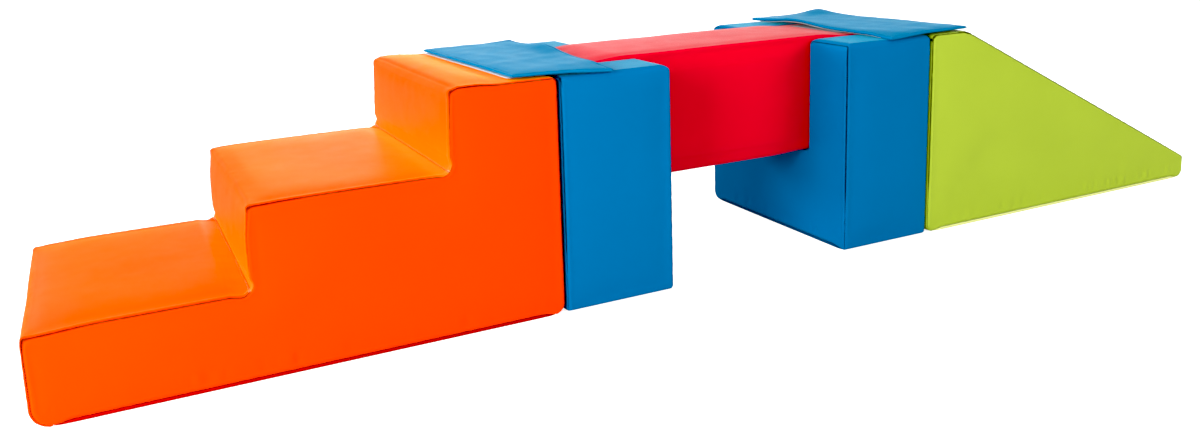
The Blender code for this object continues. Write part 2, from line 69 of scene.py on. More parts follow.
LAMPS = (  # name, place, aim, width, height, power in watts, whether it shows in reflections
    ("key_fill", (-2.9, -1.35, 1.15), (-0.9, 0.0, 0.15), 1.4, 1.4, 107, False),
    ("rear_left_fill", (-2.6, 3.4, 1.6), (0.1, 0.0, 0.2), 2.0, 1.4, 125, False),
    ("top_softbox", (0.6, 0.3, 4.2), (0.0, 0.0, 0.0), 4.0, 3.0, 75, False),
    ("right_softbox", (3.4, -4.0, 2.2), (0.9, 0.0, 0.2), 2.4, 2.0, 99, False),
    ("front_fill", (0.2, -3.8, 0.9), (0.3, 0.0, 0.25), 2.4, 1.4, 18, False),
    ("back_softbox", (4.0, 6.0, 0.80), (4.0, 0.0, 0.80), 8.0, 1.6, 78, True),
    ("back_softbox_edge", (-0.3, 6.0, 0.80), (-0.3, 0.0, 0.80), 0.6, 1.6, 2.2, True),
    ("back_softbox_end", (-0.95, 6.0, 0.80), (-0.95, 0.0, 0.80), 0.7, 1.6, 1.0, True),
)


def add(name, data):
    """A new object in the scene."""
    made = bpy.data.objects.new(name, data)
    scene.collection.objects.link(made)
    return made


def feed(tree, node, inputs):
    """Fill a node's inputs, each with a plain value or by a link from another node's output."""
    for key, value in inputs.items():
        if isinstance(value, bpy.types.NodeSocket):
            tree.links.new(value, node.inputs[key])
        else:
            node.inputs[key].default_value = value


def put(tree, kind, inputs, out=0, **settings):
    """Add a node with its settings and inputs, and give one of its outputs."""
    node = tree.nodes.new(kind)
    for setting, value in settings.items():
        setattr(node, setting, value)
    feed(tree, node, inputs)
    return node.outputs[out]


def remap(tree, value, to, source=(0.0, 1.0), **settings):
    """A value moved from one range to another."""
    ends = {"From Min": source[0], "From Max": source[1], "To Min": to[0], "To Max": to[1]}
    return put(tree, "ShaderNodeMapRange", {"Value": value, **ends}, "Result", **settings)


def new_material(name):
    material = bpy.data.materials.new(name)
    material.use_nodes = True
    return material, material.node_tree, material.node_tree.nodes["Principled BSDF"]


look = Vector((math.sin(CAMERA_YAW) * math.cos(CAMERA_PITCH),
               math.cos(CAMERA_YAW) * math.cos(CAMERA_PITCH), math.sin(CAMERA_PITCH)))
level_right = look.cross(Vector((0, 0, 1))).normalized()
level_up = level_right.cross(look)
camera_right = math.cos(CAMERA_ROLL) * level_right + math.sin(CAMERA_ROLL) * level_up
camera_up = math.cos(CAMERA_ROLL) * level_up - math.sin(CAMERA_ROLL) * level_right
turn = Matrix((camera_right, camera_up, -look)).transposed().to_4x4()
camera = add("camera", bpy.data.cameras.new("camera"))
camera.matrix_world = Matrix.Translation(CAMERA_PLACE) @ turn
camera.data.sensor_fit = "HORIZONTAL"
camera.data.sensor_width = SENSOR_WIDTH_MM
camera.data.lens = FOCAL_PX / PHOTO_WIDTH * SENSOR_WIDTH_MM
camera.data.shift_x = -CENTRE_SHIFT_PX[0] / PHOTO_WIDTH
camera.data.shift_y = CENTRE_SHIFT_PX[1] / PHOTO_WIDTH
camera.data.clip_start = NEAREST_SEEN
scene.camera = camera
scene.view_settings.view_transform = "Standard"
scene.view_settings.use_curve_mapping = True
scene.view_settings.curve_mapping.black_level = (BLACK_LEVEL, BLACK_LEVEL, BLACK_LEVEL)
scene.view_settings.curve_mapping.update()

floor_mesh = bpy.data.meshes.new("floor")
floor_mesh.from_pydata([(-FLOOR_HALF, -FLOOR_HALF, 0), (FLOOR_HALF, -FLOOR_HALF, 0),
                        (FLOOR_HALF, FLOOR_HALF, 0), (-FLOOR_HALF, FLOOR_HALF, 0)], [], [(0, 1, 2, 3)])
floor = add("floor", floor_mesh)
floor_paint, tree, shader = new_material("floor_paint")
rays = tree.nodes.new("ShaderNodeLightPath").outputs
lifted_white = put(tree, "ShaderNodeMath", {0: rays["Is Camera Ray"], 1: FLOOR_LIFT}, operation="MULTIPLY")
feed(tree, shader, {"Roughness": FLOOR_ROUGHNESS, "Specular IOR Level": FLOOR_GLOSS, "Emission Color": WHITE,
                    "Emission Strength": lifted_white,
                    "Base Color": remap(tree, rays["Is Glossy Ray"], (FLOOR_TONE, FLOOR_MIRRORED))})
floor_mesh.materials.append(floor_paint)

world = bpy.data.worlds.new("studio")
world.use_nodes = True
tree = world.node_tree
rays = tree.nodes.new("ShaderNodeLightPath").outputs
sky_mirrored = remap(tree, rays["Is Glossy Ray"], (SKY_LIGHT, SKY_MIRRORED))
sky_strength = remap(tree, rays["Is Camera Ray"], (sky_mirrored, BACKDROP_WHITE))
feed(tree, tree.nodes["Background"], {"Color": WHITE, "Strength": sky_strength})
scene.world = world

for name, place, aim, width, height, power, mirrored in LAMPS:
    lamp = add(name, bpy.data.lights.new(name, "AREA"))
    lamp.data.shape = "RECTANGLE"
    lamp.data.size, lamp.data.size_y, lamp.data.energy = width, height, power
    lamp.location = place
    lamp.rotation_euler = (Vector(aim) - Vector(place)).to_track_quat("-Z", "Y").to_euler()
    lamp.visible_camera, lamp.visible_glossy = False, mirrored

# Stairs: an orange cover of coated fabric, cut as two side panels and a wrap in five strips, sewn inside
# out and pulled over the foam. Every seam draws the edge in, and the cloth swells beside it.
# The base panels' darker colours paint the shade along the floor contact.
STAIRS_ORANGE, STAIRS_BASE_SHADE_RED, BASE_SHADE_TONE = (0.95, 0.052, 0.0), (0.38, 0.009, 0.005), 0.42
EDGE_SPAN, EDGE_SAMPLES, SEAM_DRAW, SEAM_RIM, FOLD_SOFTNESS = 0.09, 1441, 0.0008, 0.016, 0.005
CLOTH_THICKNESS, WRAP_OVER, OVER_RINGS = 0.0009, 0.005, 5
SWELL_VOXEL, SWELL_PRESSURE, SWELL_FRAMES, SWELL_CAP, SWELL_HOLD = 0.012, 4.0, 20, 0.004, 0.012
CLOTH_STRETCH, CLOTH_BENDING, CARRIERS, CARRY_SOFTNESS = 40.0, 2.0, 6, 0.001
PUCKER_DEPTH, PUCKER_REACH, WAVE_DEPTH, WAVE_REACH = 0.0004, 0.009, 0.0006, 0.05
PINCH_DEPTH, PINCH_REACH, PINCH_SHADE = 0.0018, 0.006, 0.85
BASE_PUCKER_DEPTH, BASE_PUCKER_REACH, BASE_PUCKER_START = 0.0017, 0.03, (0.006, 0.018)
CORNER_REACH, CORNER_FADE, CORNER_FALLS = 0.05, 7, (0.0008, 0.0008)
PUCKER_WAVES, FOLD_WAVES, FOLD_GROUPS, FACE_WAVES, FACE_WAVE_COUNT = (
    (0.012, 0.045), (0.018, 0.06), (0.15, 0.4), (0.12, 0.45), 14)
SEEDS = {"stairs": 11, "left_block": 22, "right_block": 24, "beam": 31, "ramp": 41}
RIDGE_RISE, RIDGE_PLACE, RIDGE_REACH = 0.0007, 0.0060, 0.0030
SEAM_DIP, SEAM_DIP_REACH, GROOVE_DEPTH, GROOVE_REACH = 0.0011, 0.009, 0.0011, 0.0020
LIP_SETBACK, LIP_DROP, FLANGE_DEPTH, HEM_DEPTH = 0.0005, 0.0004, 0.0024, 0.001
SEAM_ROWS = (0.0, 0.0012, 0.0026, 0.0045, 0.007, 0.010, 0.014, 0.019, 0.025, 0.033)
COLUMN_STEP, ARC_STEP, ARC_COLUMNS, FIELD_STEP = 0.006, 0.003, 6, 0.016
RING_KEPT, FIELD_RISE, FIELD_CLEAR, SAME_PLACE = 0.97, 0.9, 0.45, 1e-7
DROOP_FADE, TUCK_LINE, TUCK_SHARPEN, NOSE_SOFTEN = 0.10, 0.0024, 0.75, 0.6
BASE_TURN, BASE_TURN_FADE, REST_SHOW = 0.0062, 0.03, 0.0038
TOUCH, FAR, CHUNK = 1e-9, 1.0, 2000


def between(value, start, end):
    """0 before start, 1 after end, and smooth in between."""
    share = np.clip((value - start) / (end - start), 0, 1)
    return share * share * (3 - 2 * share)


def make_edge_curve():
    """The rounded edge where a side panel meets the wrap: how far in from the outline and from the side."""
    t = np.linspace(-EDGE_SPAN, EDGE_SPAN, EDGE_SAMPLES)
    draw_in = SEAM_DRAW * np.clip(1 + t / SEAM_RIM, 0, 1) ** 2
    draw_in[t > 0] = SEAM_DRAW
    side = np.where(t < 0, SEAM_DRAW - t, SEAM_DRAW * np.clip(1 - t / SEAM_RIM, 0, 1) ** 2)
    half = int(FOLD_SOFTNESS / (t[1] - t[0]))
    window = np.hanning(2 * half + 3)
    window /= window.sum()
    return t, *(np.convolve(np.pad(v, half + 1, mode="reflect", reflect_type="odd"), window, mode="valid")
                for v in (draw_in, np.maximum(t, 0), side))


EDGE_T, EDGE_DRAW, EDGE_AHEAD, EDGE_SIDE = make_edge_curve()


def edge_inset(t, share):
    return share * np.interp(t, EDGE_T, EDGE_DRAW) + np.interp(t, EDGE_T, EDGE_AHEAD)


def edge_depth(t):
    return np.interp(t, EDGE_T, EDGE_SIDE) - np.minimum(t - EDGE_T[0], 0)


def depth_at_inset(inset, share):
    """Depth of a side panel, inwards from its full face, at a distance in from the outline."""
    drawn = np.interp(inset, EDGE_DRAW + EDGE_AHEAD, EDGE_SIDE)
    flat = np.interp(inset, EDGE_AHEAD + EDGE_T * 1e-6, EDGE_SIDE)
    return flat + (drawn - flat) * share


def triangle_table(faces):
    """The faces as a table of triangles."""
    triangles = [face for face in faces if len(face) == 3]
    for face in faces:
        if len(face) == 4:
            triangles += [[face[0], face[1], face[2]], [face[0], face[2], face[3]]]
    return np.array(triangles)


def distance_to(loop, points):
    """The distance of each point to the nearest side of a closed line."""
    ways = np.roll(loop, -1, axis=0) - loop
    lengths = np.maximum((ways ** 2).sum(1), 1e-18)
    found = []
    for first in range(0, len(points), CHUNK):
        gaps = points[first:first + CHUNK, None, :] - loop[None]
        share = np.clip((gaps * ways[None]).sum(2) / lengths[None], 0, 1)
        found.append(np.sqrt(((gaps - share[..., None] * ways[None]) ** 2).sum(2).min(1)))
    return np.concatenate(found)


def nearest_of(loop, points):
    """The number of the loop's point that is nearest to each point."""
    return np.concatenate([((points[first:first + CHUNK, None, :] - loop[None]) ** 2).sum(2).argmin(1)
                           for first in range(0, len(points), CHUNK)])


def inside(loop, points):
    """Which points lie inside a closed line."""
    odd = np.zeros(len(points), bool)
    for (x0, y0), (x1, y1) in zip(loop, np.roll(loop, -1, axis=0)):
        crosses = (y0 > points[:, 1]) != (y1 > points[:, 1])
        if y1 != y0:
            odd ^= crosses & (points[:, 0] < (x1 - x0) * (points[:, 1] - y0) / (y1 - y0) + x0)
    return odd


class Outline:
    """A closed outline of straight edges and round corners, read by the distance along it."""

    def __init__(self, corners):
        self.corners, self.pieces, self.arc_spans, self.length = corners, [], [], 0.0
        bends = []
        for index, (a, z, radius, _) in enumerate(corners):
            here, before = np.array((a, z)), np.array(corners[index - 1][:2])
            after = np.array(corners[(index + 1) % len(corners)][:2])
            way_in = (here - before) / np.linalg.norm(here - before)
            way_out = (after - here) / np.linalg.norm(after - here)
            sine = way_in[0] * way_out[1] - way_in[1] * way_out[0]
            angle = math.atan2(sine, float(way_in @ way_out))
            reach = radius * math.tan(abs(angle) / 2)
            start, side = here - way_in * reach, math.copysign(1, angle)
            centre = start + side * radius * np.array((-way_in[1], way_in[0]))
            bends.append((start, here + way_out * reach, way_out, centre, side, radius * abs(angle)))
        for index, (start, end, way_out, centre, side, arc_length) in enumerate(bends):
            radius, was_open, is_open = corners[index][2], corners[index - 1][3], corners[index][3]
            line_length = float(np.linalg.norm(bends[(index + 1) % len(bends)][0] - end))
            self.arc_spans.append((self.length, self.length + arc_length))
            self.pieces.append(("arc", self.length, arc_length, centre, start, side, radius, was_open, is_open))
            self.length += arc_length
            self.pieces.append(("line", self.length, line_length, end, way_out, 0, 0, is_open, is_open))
            self.length += line_length

    def arc_place(self, corner, share):
        start, end = self.arc_spans[corner]
        return start + (end - start) * share

    def bottom_place(self, offset):
        """The distance along the outline of a point on its bottom edge, offset from that edge's middle."""
        return (self.arc_spans[0][1] + self.arc_spans[1][0]) / 2 + offset

    def read(self, distances):
        """Points, inward normals and the share of the seam draw at distances along the outline."""
        points, normals = np.zeros((2, len(distances), 2))
        shares = np.zeros(len(distances))
        for kind, start, length, first, second, side, radius, was_open, is_open in self.pieces:
            chosen = (distances >= start - TOUCH) & (distances <= start + length + TOUCH)
            run = distances[chosen] - start
            if kind == "line":
                points[chosen] = first + run[:, None] * second
                normals[chosen] = (-second[1], second[0])
                shares[chosen] = is_open
                continue
            arm = second - first
            cosine, sine = np.cos(side * run / radius), np.sin(side * run / radius)
            turned = np.stack((arm[0] * cosine - arm[1] * sine, arm[0] * sine + arm[1] * cosine), 1)
            points[chosen] = first + turned
            normals[chosen] = -side * turned / radius
            way = run / max(length, TOUCH)
            shares[chosen] = was_open + (is_open - was_open) * way * way * (3 - 2 * way)
        return points, normals, shares

    def columns(self, seams, extra):
        """Distances for the mesh's columns: even on straights, closer on arcs and beside each seam."""
        marks = list(extra)
        for kind, start, length, *_ in self.pieces:
            least, step = (1, COLUMN_STEP) if kind == "line" else (ARC_COLUMNS, ARC_STEP)
            count = max(least, math.ceil(length / step))
            marks += [start + length * index / count for index in range(count)]
        near = np.array(SEAM_ROWS[1:4])
        kept = []
        for number, mark in enumerate(marks):
            gaps = [min(abs(mark - seam), self.length - abs(mark - seam)) for seam in seams]
            crowded = number >= len(extra) and any(abs(mark - other) < COLUMN_STEP / 3 for other in extra)
            if not crowded and (not gaps or min(gaps) > near[-1] + SEAM_ROWS[1]):
                kept.append(mark)
        for seam in seams:
            kept += [(seam + offset) % self.length for offset in (*-near[::-1], 0.0, *near)]
        return np.array(sorted(kept))


class Cover:
    """A sewn cover: its wrap is a band of columns and rows, and its side panels close the two ends."""

    def __init__(self, name, corners, half_width, place, seam_marks, slot, droops=(), tucks=(), base_turn=0.0,
                 noses=(), crowns=(), seats=(), glows=()):
        self.name, self.half, self.place = name, half_width, place
        outline = self.outline = Outline(corners)
        self.seams = [outline.arc_place(corner, share) for corner, share in seam_marks]
        along, slot_middle, slot_length, slot_width = slot
        self.slot_reach, self.slot_across = (slot_length, slot_width) if along else (slot_width, slot_length)
        slot_middle = outline.bottom_place(slot_middle)
        self.slot_ends = [slot_middle - self.slot_reach, slot_middle + self.slot_reach]
        self.s = outline.columns(self.seams, self.slot_ends)
        self.points2d, self.normals2d, self.share = outline.read(self.s % outline.length)
        for before, after, amount, rise, fall in crowns:
            start, end = outline.arc_spans[before][1], outline.arc_spans[after][0]
            bump = between(self.s - start, *rise) * between(end - self.s, *fall)
            self.points2d -= self.normals2d * (amount * bump)[:, None]
        self.rows = self.row_distances()
        self.droop = {-1: np.zeros(len(self.s)), 1: np.zeros(len(self.s))}
        for side, first, last, reach_before, reach_after, amount in droops:
            start, end = outline.arc_spans[first][0], outline.arc_spans[last][1]
            ahead, behind = (start - self.s) % outline.length, (self.s - end) % outline.length
            weight = np.maximum(np.clip(1 - ahead / reach_before, 0, 1),
                                np.clip(1 - behind / reach_after, 0, 1))
            weight[((self.s - start) % outline.length) <= ((end - start) % outline.length)] = 1
            weight = weight ** 2 * (3 - 2 * weight)
            self.droop[side] = np.maximum(self.droop[side], amount * weight) + min(amount, 0) * weight
        reach = (outline.arc_spans[1][0] - outline.arc_spans[0][1]) / 2
        gap = self.gap_to([outline.bottom_place(0.0)])
        self.resting = 1 - between(gap, reach - BASE_TURN_FADE, reach + BASE_TURN_FADE / 4)
        self.calm = 1 - between(gap, reach + BASE_TURN_FADE, reach + 5 * BASE_TURN_FADE)
        for side in (-1, 1):
            self.droop[side] = np.maximum(self.droop[side], base_turn * self.resting)
        for side, start, end, fade, amount in seats:
            start, end = outline.arc_place(*start), outline.arc_place(*end)
            rise, fall = between(self.s, start, start + fade), between(-self.s, -end, fade - end)
            self.droop[side] -= amount * rise * fall
        self.notes = {key: np.zeros(0) for key in (
            "seam_distance", "tuck_share", "tuck_glow", "draw_share", "along", "resting", "calm", "on_side")}
        self.vertices = np.zeros((0, 3))
        self.build_band(tucks, noses, glows)
        self.side_faces = {side: self.build_side(side) for side in (-1, 1)}
        self.inside_out = False
        corner = self.vertices[triangle_table(self.all_faces())]
        self.inside_out = (corner[:, 0] * np.cross(corner[:, 1], corner[:, 2])).sum() < 0

    def gap_to(self, places):
        """The distance of each column, along the outline, to the nearest of some places."""
        nearest = np.full(len(self.s), FAR)
        for place in places:
            gap = np.abs(self.s - place)
            nearest = np.minimum(nearest, np.minimum(gap, self.outline.length - gap))
        return nearest

    def row_distances(self):
        """Distances of the rows from a side seam to the middle, close at the seam and one at the zip's slot."""
        middle = self.half - SEAM_DRAW
        stops = [middle - self.slot_across, middle]
        rows = [row for row in SEAM_ROWS if row < stops[0] - FIELD_STEP / 3]
        for stop in stops:
            count, start = max(1, round((stop - rows[-1]) / FIELD_STEP)), rows[-1]
            rows += [start + (stop - start) * index / count for index in range(1, count + 1)]
        return np.array(rows)

    def grow(self, flat, **notes):
        """Add vertices, given as (a, z, across), with what the finish needs to know; what isn't named is 0."""
        a, z, across = flat.T
        numbers = np.arange(len(flat)) + len(self.vertices)
        self.vertices = np.concatenate((self.vertices, np.stack(self.place(a, across, z), axis=1)))
        for key in self.notes:
            self.notes[key] = np.concatenate((self.notes[key], notes.get(key, np.zeros(len(flat)))))
        return numbers

    def build_band(self, tucks, noses, glows):
        """Vertices of the wrap: columns along the outline, rows from the front seam to the rear one."""
        halves = []
        for side in (-1, 1):
            fade = np.clip(1 - self.rows / DROOP_FADE, 0, 1) ** 2
            t = self.droop[side][:, None] * fade[None, :] - self.rows[None, :]
            inset = edge_inset(t, self.share[:, None])
            flat = self.points2d[:, None, :] + self.normals2d[:, None, :] * inset[..., None]
            for seam in tucks:
                self.reshape(flat, self.seams[seam], TUCK_SHARPEN)
            for corner in noses:
                self.reshape(flat, self.outline.arc_place(corner, 0.5), -NOSE_SOFTEN)
            across = side * (self.half - edge_depth(t))
            halves.append(np.concatenate((flat, across[..., None]), axis=2))
        grid = np.concatenate((halves[0], halves[1][:, ::-1][:, 1:]), axis=1)
        columns, width = self.band_shape = grid.shape[:2]
        rows = np.concatenate((self.rows, self.rows[::-1][1:]))
        # Painted bounce light: near some tucks the colour is mixed towards a warmer, lighter orange, as light
        # bounces between the orange faces.
        glow = np.zeros(columns)
        for corner, before, reach_before, after, reach_after in glows:
            gap = self.s - self.outline.arc_place(corner, 0.5)
            share, reach = np.where(gap < 0, before, after), np.where(gap < 0, reach_before, reach_after)
            glow = np.maximum(glow, share * np.exp(-np.abs(gap) / reach))
        # Painted highlight: a thin pale line along each tuck crease.
        tucked = 1 - between(self.gap_to([self.seams[seam] for seam in tucks]), TUCK_LINE / 3, TUCK_LINE)
        self.grow(
            grid.reshape(-1, 3),
            seam_distance=np.minimum(rows[None, :], self.gap_to(self.seams)[:, None]).reshape(-1),
            tuck_share=np.repeat(tucked, width) * (np.tile(rows, columns) > SEAM_ROWS[2]),
            tuck_glow=np.repeat(glow, width), draw_share=np.repeat(self.share, width),
            along=np.repeat(self.s, width), resting=np.repeat(self.resting, width),
            calm=np.repeat(self.calm, width))

    def reshape(self, flat, place, amount):
        """Shrink an arc of the outline towards its corner, away from the side seams, or widen it."""
        spans = self.outline.arc_spans
        corner = next(index for index, (start, end) in enumerate(spans) if start < place < end)
        start, end = spans[corner]
        chosen = np.flatnonzero((self.s > start - TOUCH) & (self.s < end + TOUCH))
        share = amount * between(self.rows, SEAM_ROWS[3], SEAM_ROWS[-1])
        tip = np.array(self.outline.corners[corner][:2])
        flat[chosen] += (tip - flat[chosen]) * share[None, :, None]

    def build_side(self, side):
        """Vertices and faces of a side panel: rings over the edge, rings inside it and a field of triangles."""

        def ring_grow(flat, depth, distances, columns):
            solid = np.concatenate((flat, (side * (self.half - depth))[:, None]), axis=1)
            return self.grow(
                solid, seam_distance=distances, draw_share=self.share[columns], along=self.s[columns],
                resting=self.resting[columns], calm=self.calm[columns], on_side=np.ones(len(flat)))

        columns = np.arange(self.band_shape[0])
        rim = self.band_index(columns, 0 if side < 0 else self.band_shape[1] - 1)
        over = np.maximum(WRAP_OVER, self.droop[side] + SEAM_ROWS[1]) - self.droop[side]
        faces = []
        for number in range(1, OVER_RINGS + 1):
            t = self.droop[side] + over * number / OVER_RINGS
            border = self.points2d + self.normals2d * edge_inset(t, self.share)[:, None]
            ring = ring_grow(border, edge_depth(t), t - self.droop[side], columns)
            after, ring_after = np.roll(rim, -1), np.roll(ring, -1)
            quad = (ring, rim, after, ring_after) if side < 0 else (rim, ring, ring_after, after)
            faces += np.stack(quad, 1).tolist()
            rim = ring
        inner = []
        for distance in SEAM_ROWS[1:9]:
            ring = border + self.normals2d * distance
            inner.append(ring[distance_to(border, ring) > RING_KEPT * distance])
        low, high = border.min(0), border.max(0)
        across = np.arange(low[0] + FIELD_STEP / 2, high[0], FIELD_STEP)
        up = np.arange(low[1] + FIELD_STEP / 2, high[1], FIELD_STEP * FIELD_RISE)
        field = np.array([(x + (number % 2) * FIELD_STEP / 2, level) for number, level in enumerate(up)
                          for x in across])
        field = field[inside(border, field)]
        inner.append(field[distance_to(border, field) > SEAM_ROWS[8] + FIELD_STEP * FIELD_CLEAR])
        inner = np.concatenate(inner)
        count = len(border)
        loop = [(index, (index + 1) % count) for index in range(count)]
        flat = [Vector(point) for point in np.concatenate((border, inner))]
        placed, _, triangles, origins = delaunay_2d_cdt(flat, loop, [], 0, SAME_PLACE, True)[:4]
        triangles = np.array(triangles)
        middles = np.array([tuple(point) for point in placed])[triangles].mean(axis=1)
        nearest = nearest_of(border, inner)
        depth = depth_at_inset(distance_to(self.points2d, inner), self.share[nearest])
        field = ring_grow(inner, depth, distance_to(border, inner) + over[nearest], nearest)
        numbers = [rim[origin[0]] if origin[0] < count else field[origin[0] - count] for origin in origins]
        for triangle in triangles[inside(border, middles)]:
            face = [numbers[index] for index in triangle]
            faces.append(face if side < 0 else face[::-1])
        return faces

    def band_index(self, column, row):
        return (column % self.band_shape[0]) * self.band_shape[1] + row

    def column_at(self, place):
        return int(np.argmin(np.abs(self.s - place)))

    def facing(self, faces):
        return [face[::-1] for face in faces] if self.inside_out else faces

    def strip(self, first_seam, last_seam):
        """Quads of the wrap between two seams, or all round where the seams are the same."""
        first, faces = self.column_at(first_seam), []
        for column in range(first, first + ((self.column_at(last_seam) - first) % len(self.s) or len(self.s))):
            for row in range(self.band_shape[1] - 1):
                faces.append([self.band_index(column, row), self.band_index(column, row + 1),
                              self.band_index(column + 1, row + 1), self.band_index(column + 1, row)])
        return self.facing(faces)

    def slotted(self, first_seam, last_seam):
        """The same quads without those over the zip's slot."""
        start = self.half - SEAM_DRAW - self.slot_across
        rows, half_rows = self.band_shape[1], len(self.rows)
        kept = []
        for face in self.strip(first_seam, last_seam):
            column, row = min(face) // rows, min(index % rows for index in face)
            nearer = self.rows[row] if row < half_rows - 1 else self.rows[2 * half_rows - 3 - row]
            over_slot = self.slot_ends[0] < self.s[column] + COLUMN_STEP / 8 < self.slot_ends[1]
            if not (over_slot and nearer > start - 1e-6):
                kept.append(face)
        return kept

    def side(self, side):
        return self.facing(self.side_faces[side])

    def all_faces(self):
        return self.strip(0.0, 0.0) + self.side(-1) + self.side(1)

    def seam_lines(self):
        """Every seam as a line of vertex numbers: the two side seams, closed, and one across at each mark."""
        columns, rows = self.band_shape
        lines = [([self.band_index(column, row) for column in range(columns)], True) for row in (0, rows - 1)]
        return lines + [([self.band_index(self.column_at(seam), row) for row in range(rows)], False)
                        for seam in self.seams]


def vertex_normals(vertices, faces):
    """Area-weighted normals of a mesh of quads and triangles."""
    normals = np.zeros_like(vertices)
    for size, (a, b, c, d) in ((3, (0, 1, 0, 2)), (4, (0, 2, 1, 3))):
        group = np.array([face for face in faces if len(face) == size])
        if not len(group):
            continue
        corner = vertices[group]
        face_normal = np.cross(corner[:, b] - corner[:, a], corner[:, d] - corner[:, c])
        for column in range(size):
            np.add.at(normals, group[:, column], face_normal)
    return normals / np.maximum(np.linalg.norm(normals, axis=1), 1e-12)[:, None]


def smooth_noise(where, shortest, longest, seed, waves=9):
    """A gentle repeatable wave along one or more coordinates, between about -1 and 1."""
    where = np.atleast_2d(np.asarray(where).T).T
    random = np.random.default_rng(seed)
    total = np.zeros(len(where))
    for _ in range(waves):
        way = random.normal(size=where.shape[1])
        way /= np.linalg.norm(way)
        length = shortest * (longest / shortest) ** random.random()
        total += np.sin(2 * math.pi * (where @ way) / length + random.random() * 2 * math.pi)
    return total / math.sqrt(waves)


def nearness_tree(points):
    tree = KDTree(len(points))
    for index, point in enumerate(points):
        tree.insert(point, index)
    tree.balance()
    return tree


def points_of(mesh):
    flat = np.zeros(len(mesh.vertices) * 3)
    mesh.vertices.foreach_get("co", flat)
    return flat.reshape(-1, 3)


def evaluated(carrier):
    return carrier.evaluated_get(bpy.context.evaluated_depsgraph_get())


def swell(cover, room):
    """Blow the sewn cover up a little by cloth simulation, held at its seams, and keep it within its room."""
    mesh = bpy.data.meshes.new(cover.name + "_swelling")
    mesh.from_pydata(cover.vertices.tolist(), [], cover.all_faces())
    balloon = add(cover.name + "_swelling", mesh)
    remesh = balloon.modifiers.new("remesh", "REMESH")
    remesh.mode, remesh.voxel_size = "VOXEL", SWELL_VOXEL
    shaped = bpy.data.meshes.new_from_object(evaluated(balloon))
    balloon.modifiers.remove(remesh)
    balloon.data = shaped
    start = points_of(shaped)
    tree = nearness_tree(cover.vertices)
    nearest = np.array([tree.find(point)[1] for point in start])
    distance, draw_share = cover.notes["seam_distance"], cover.notes["draw_share"]
    held = (distance[nearest] < SWELL_HOLD) | (draw_share[nearest] < 0.5)
    balloon.vertex_groups.new(name="held").add([int(index) for index in np.flatnonzero(held)], 1.0, "REPLACE")
    cloth = balloon.modifiers.new("cloth", "CLOTH").settings
    cloth.use_pressure = True
    cloth.uniform_pressure_force = SWELL_PRESSURE
    cloth.effector_weights.gravity = 0.0
    cloth.vertex_group_mass = "held"
    cloth.tension_stiffness = cloth.compression_stiffness = CLOTH_STRETCH
    cloth.bending_stiffness = CLOTH_BENDING
    for moment in range(1, SWELL_FRAMES + 1):
        scene.frame_set(moment)
    move = points_of(evaluated(balloon).to_mesh()) - start
    scene.frame_set(1)
    bpy.data.objects.remove(balloon)
    size = np.linalg.norm(move, axis=1)
    move *= (SWELL_CAP * np.tanh(size / SWELL_CAP) / np.maximum(size, TOUCH))[:, None]
    tree = nearness_tree(start)
    carried = np.zeros_like(cover.vertices)
    for index, point in enumerate(cover.vertices):
        found = tree.find_n(point, CARRIERS)
        near = np.array([1 / (gap + CARRY_SOFTNESS) ** 2 for _, _, gap in found])
        carried[index] = (move[[number for _, number, _ in found]] * near[:, None]).sum(0) / near.sum()
    carried *= (between(distance, SWELL_HOLD / 2, 2 * SWELL_HOLD) * draw_share)[:, None]
    cover.vertices = cover.vertices + carried * np.clip(room(cover.vertices) / SWELL_CAP, 0, 1)[:, None]


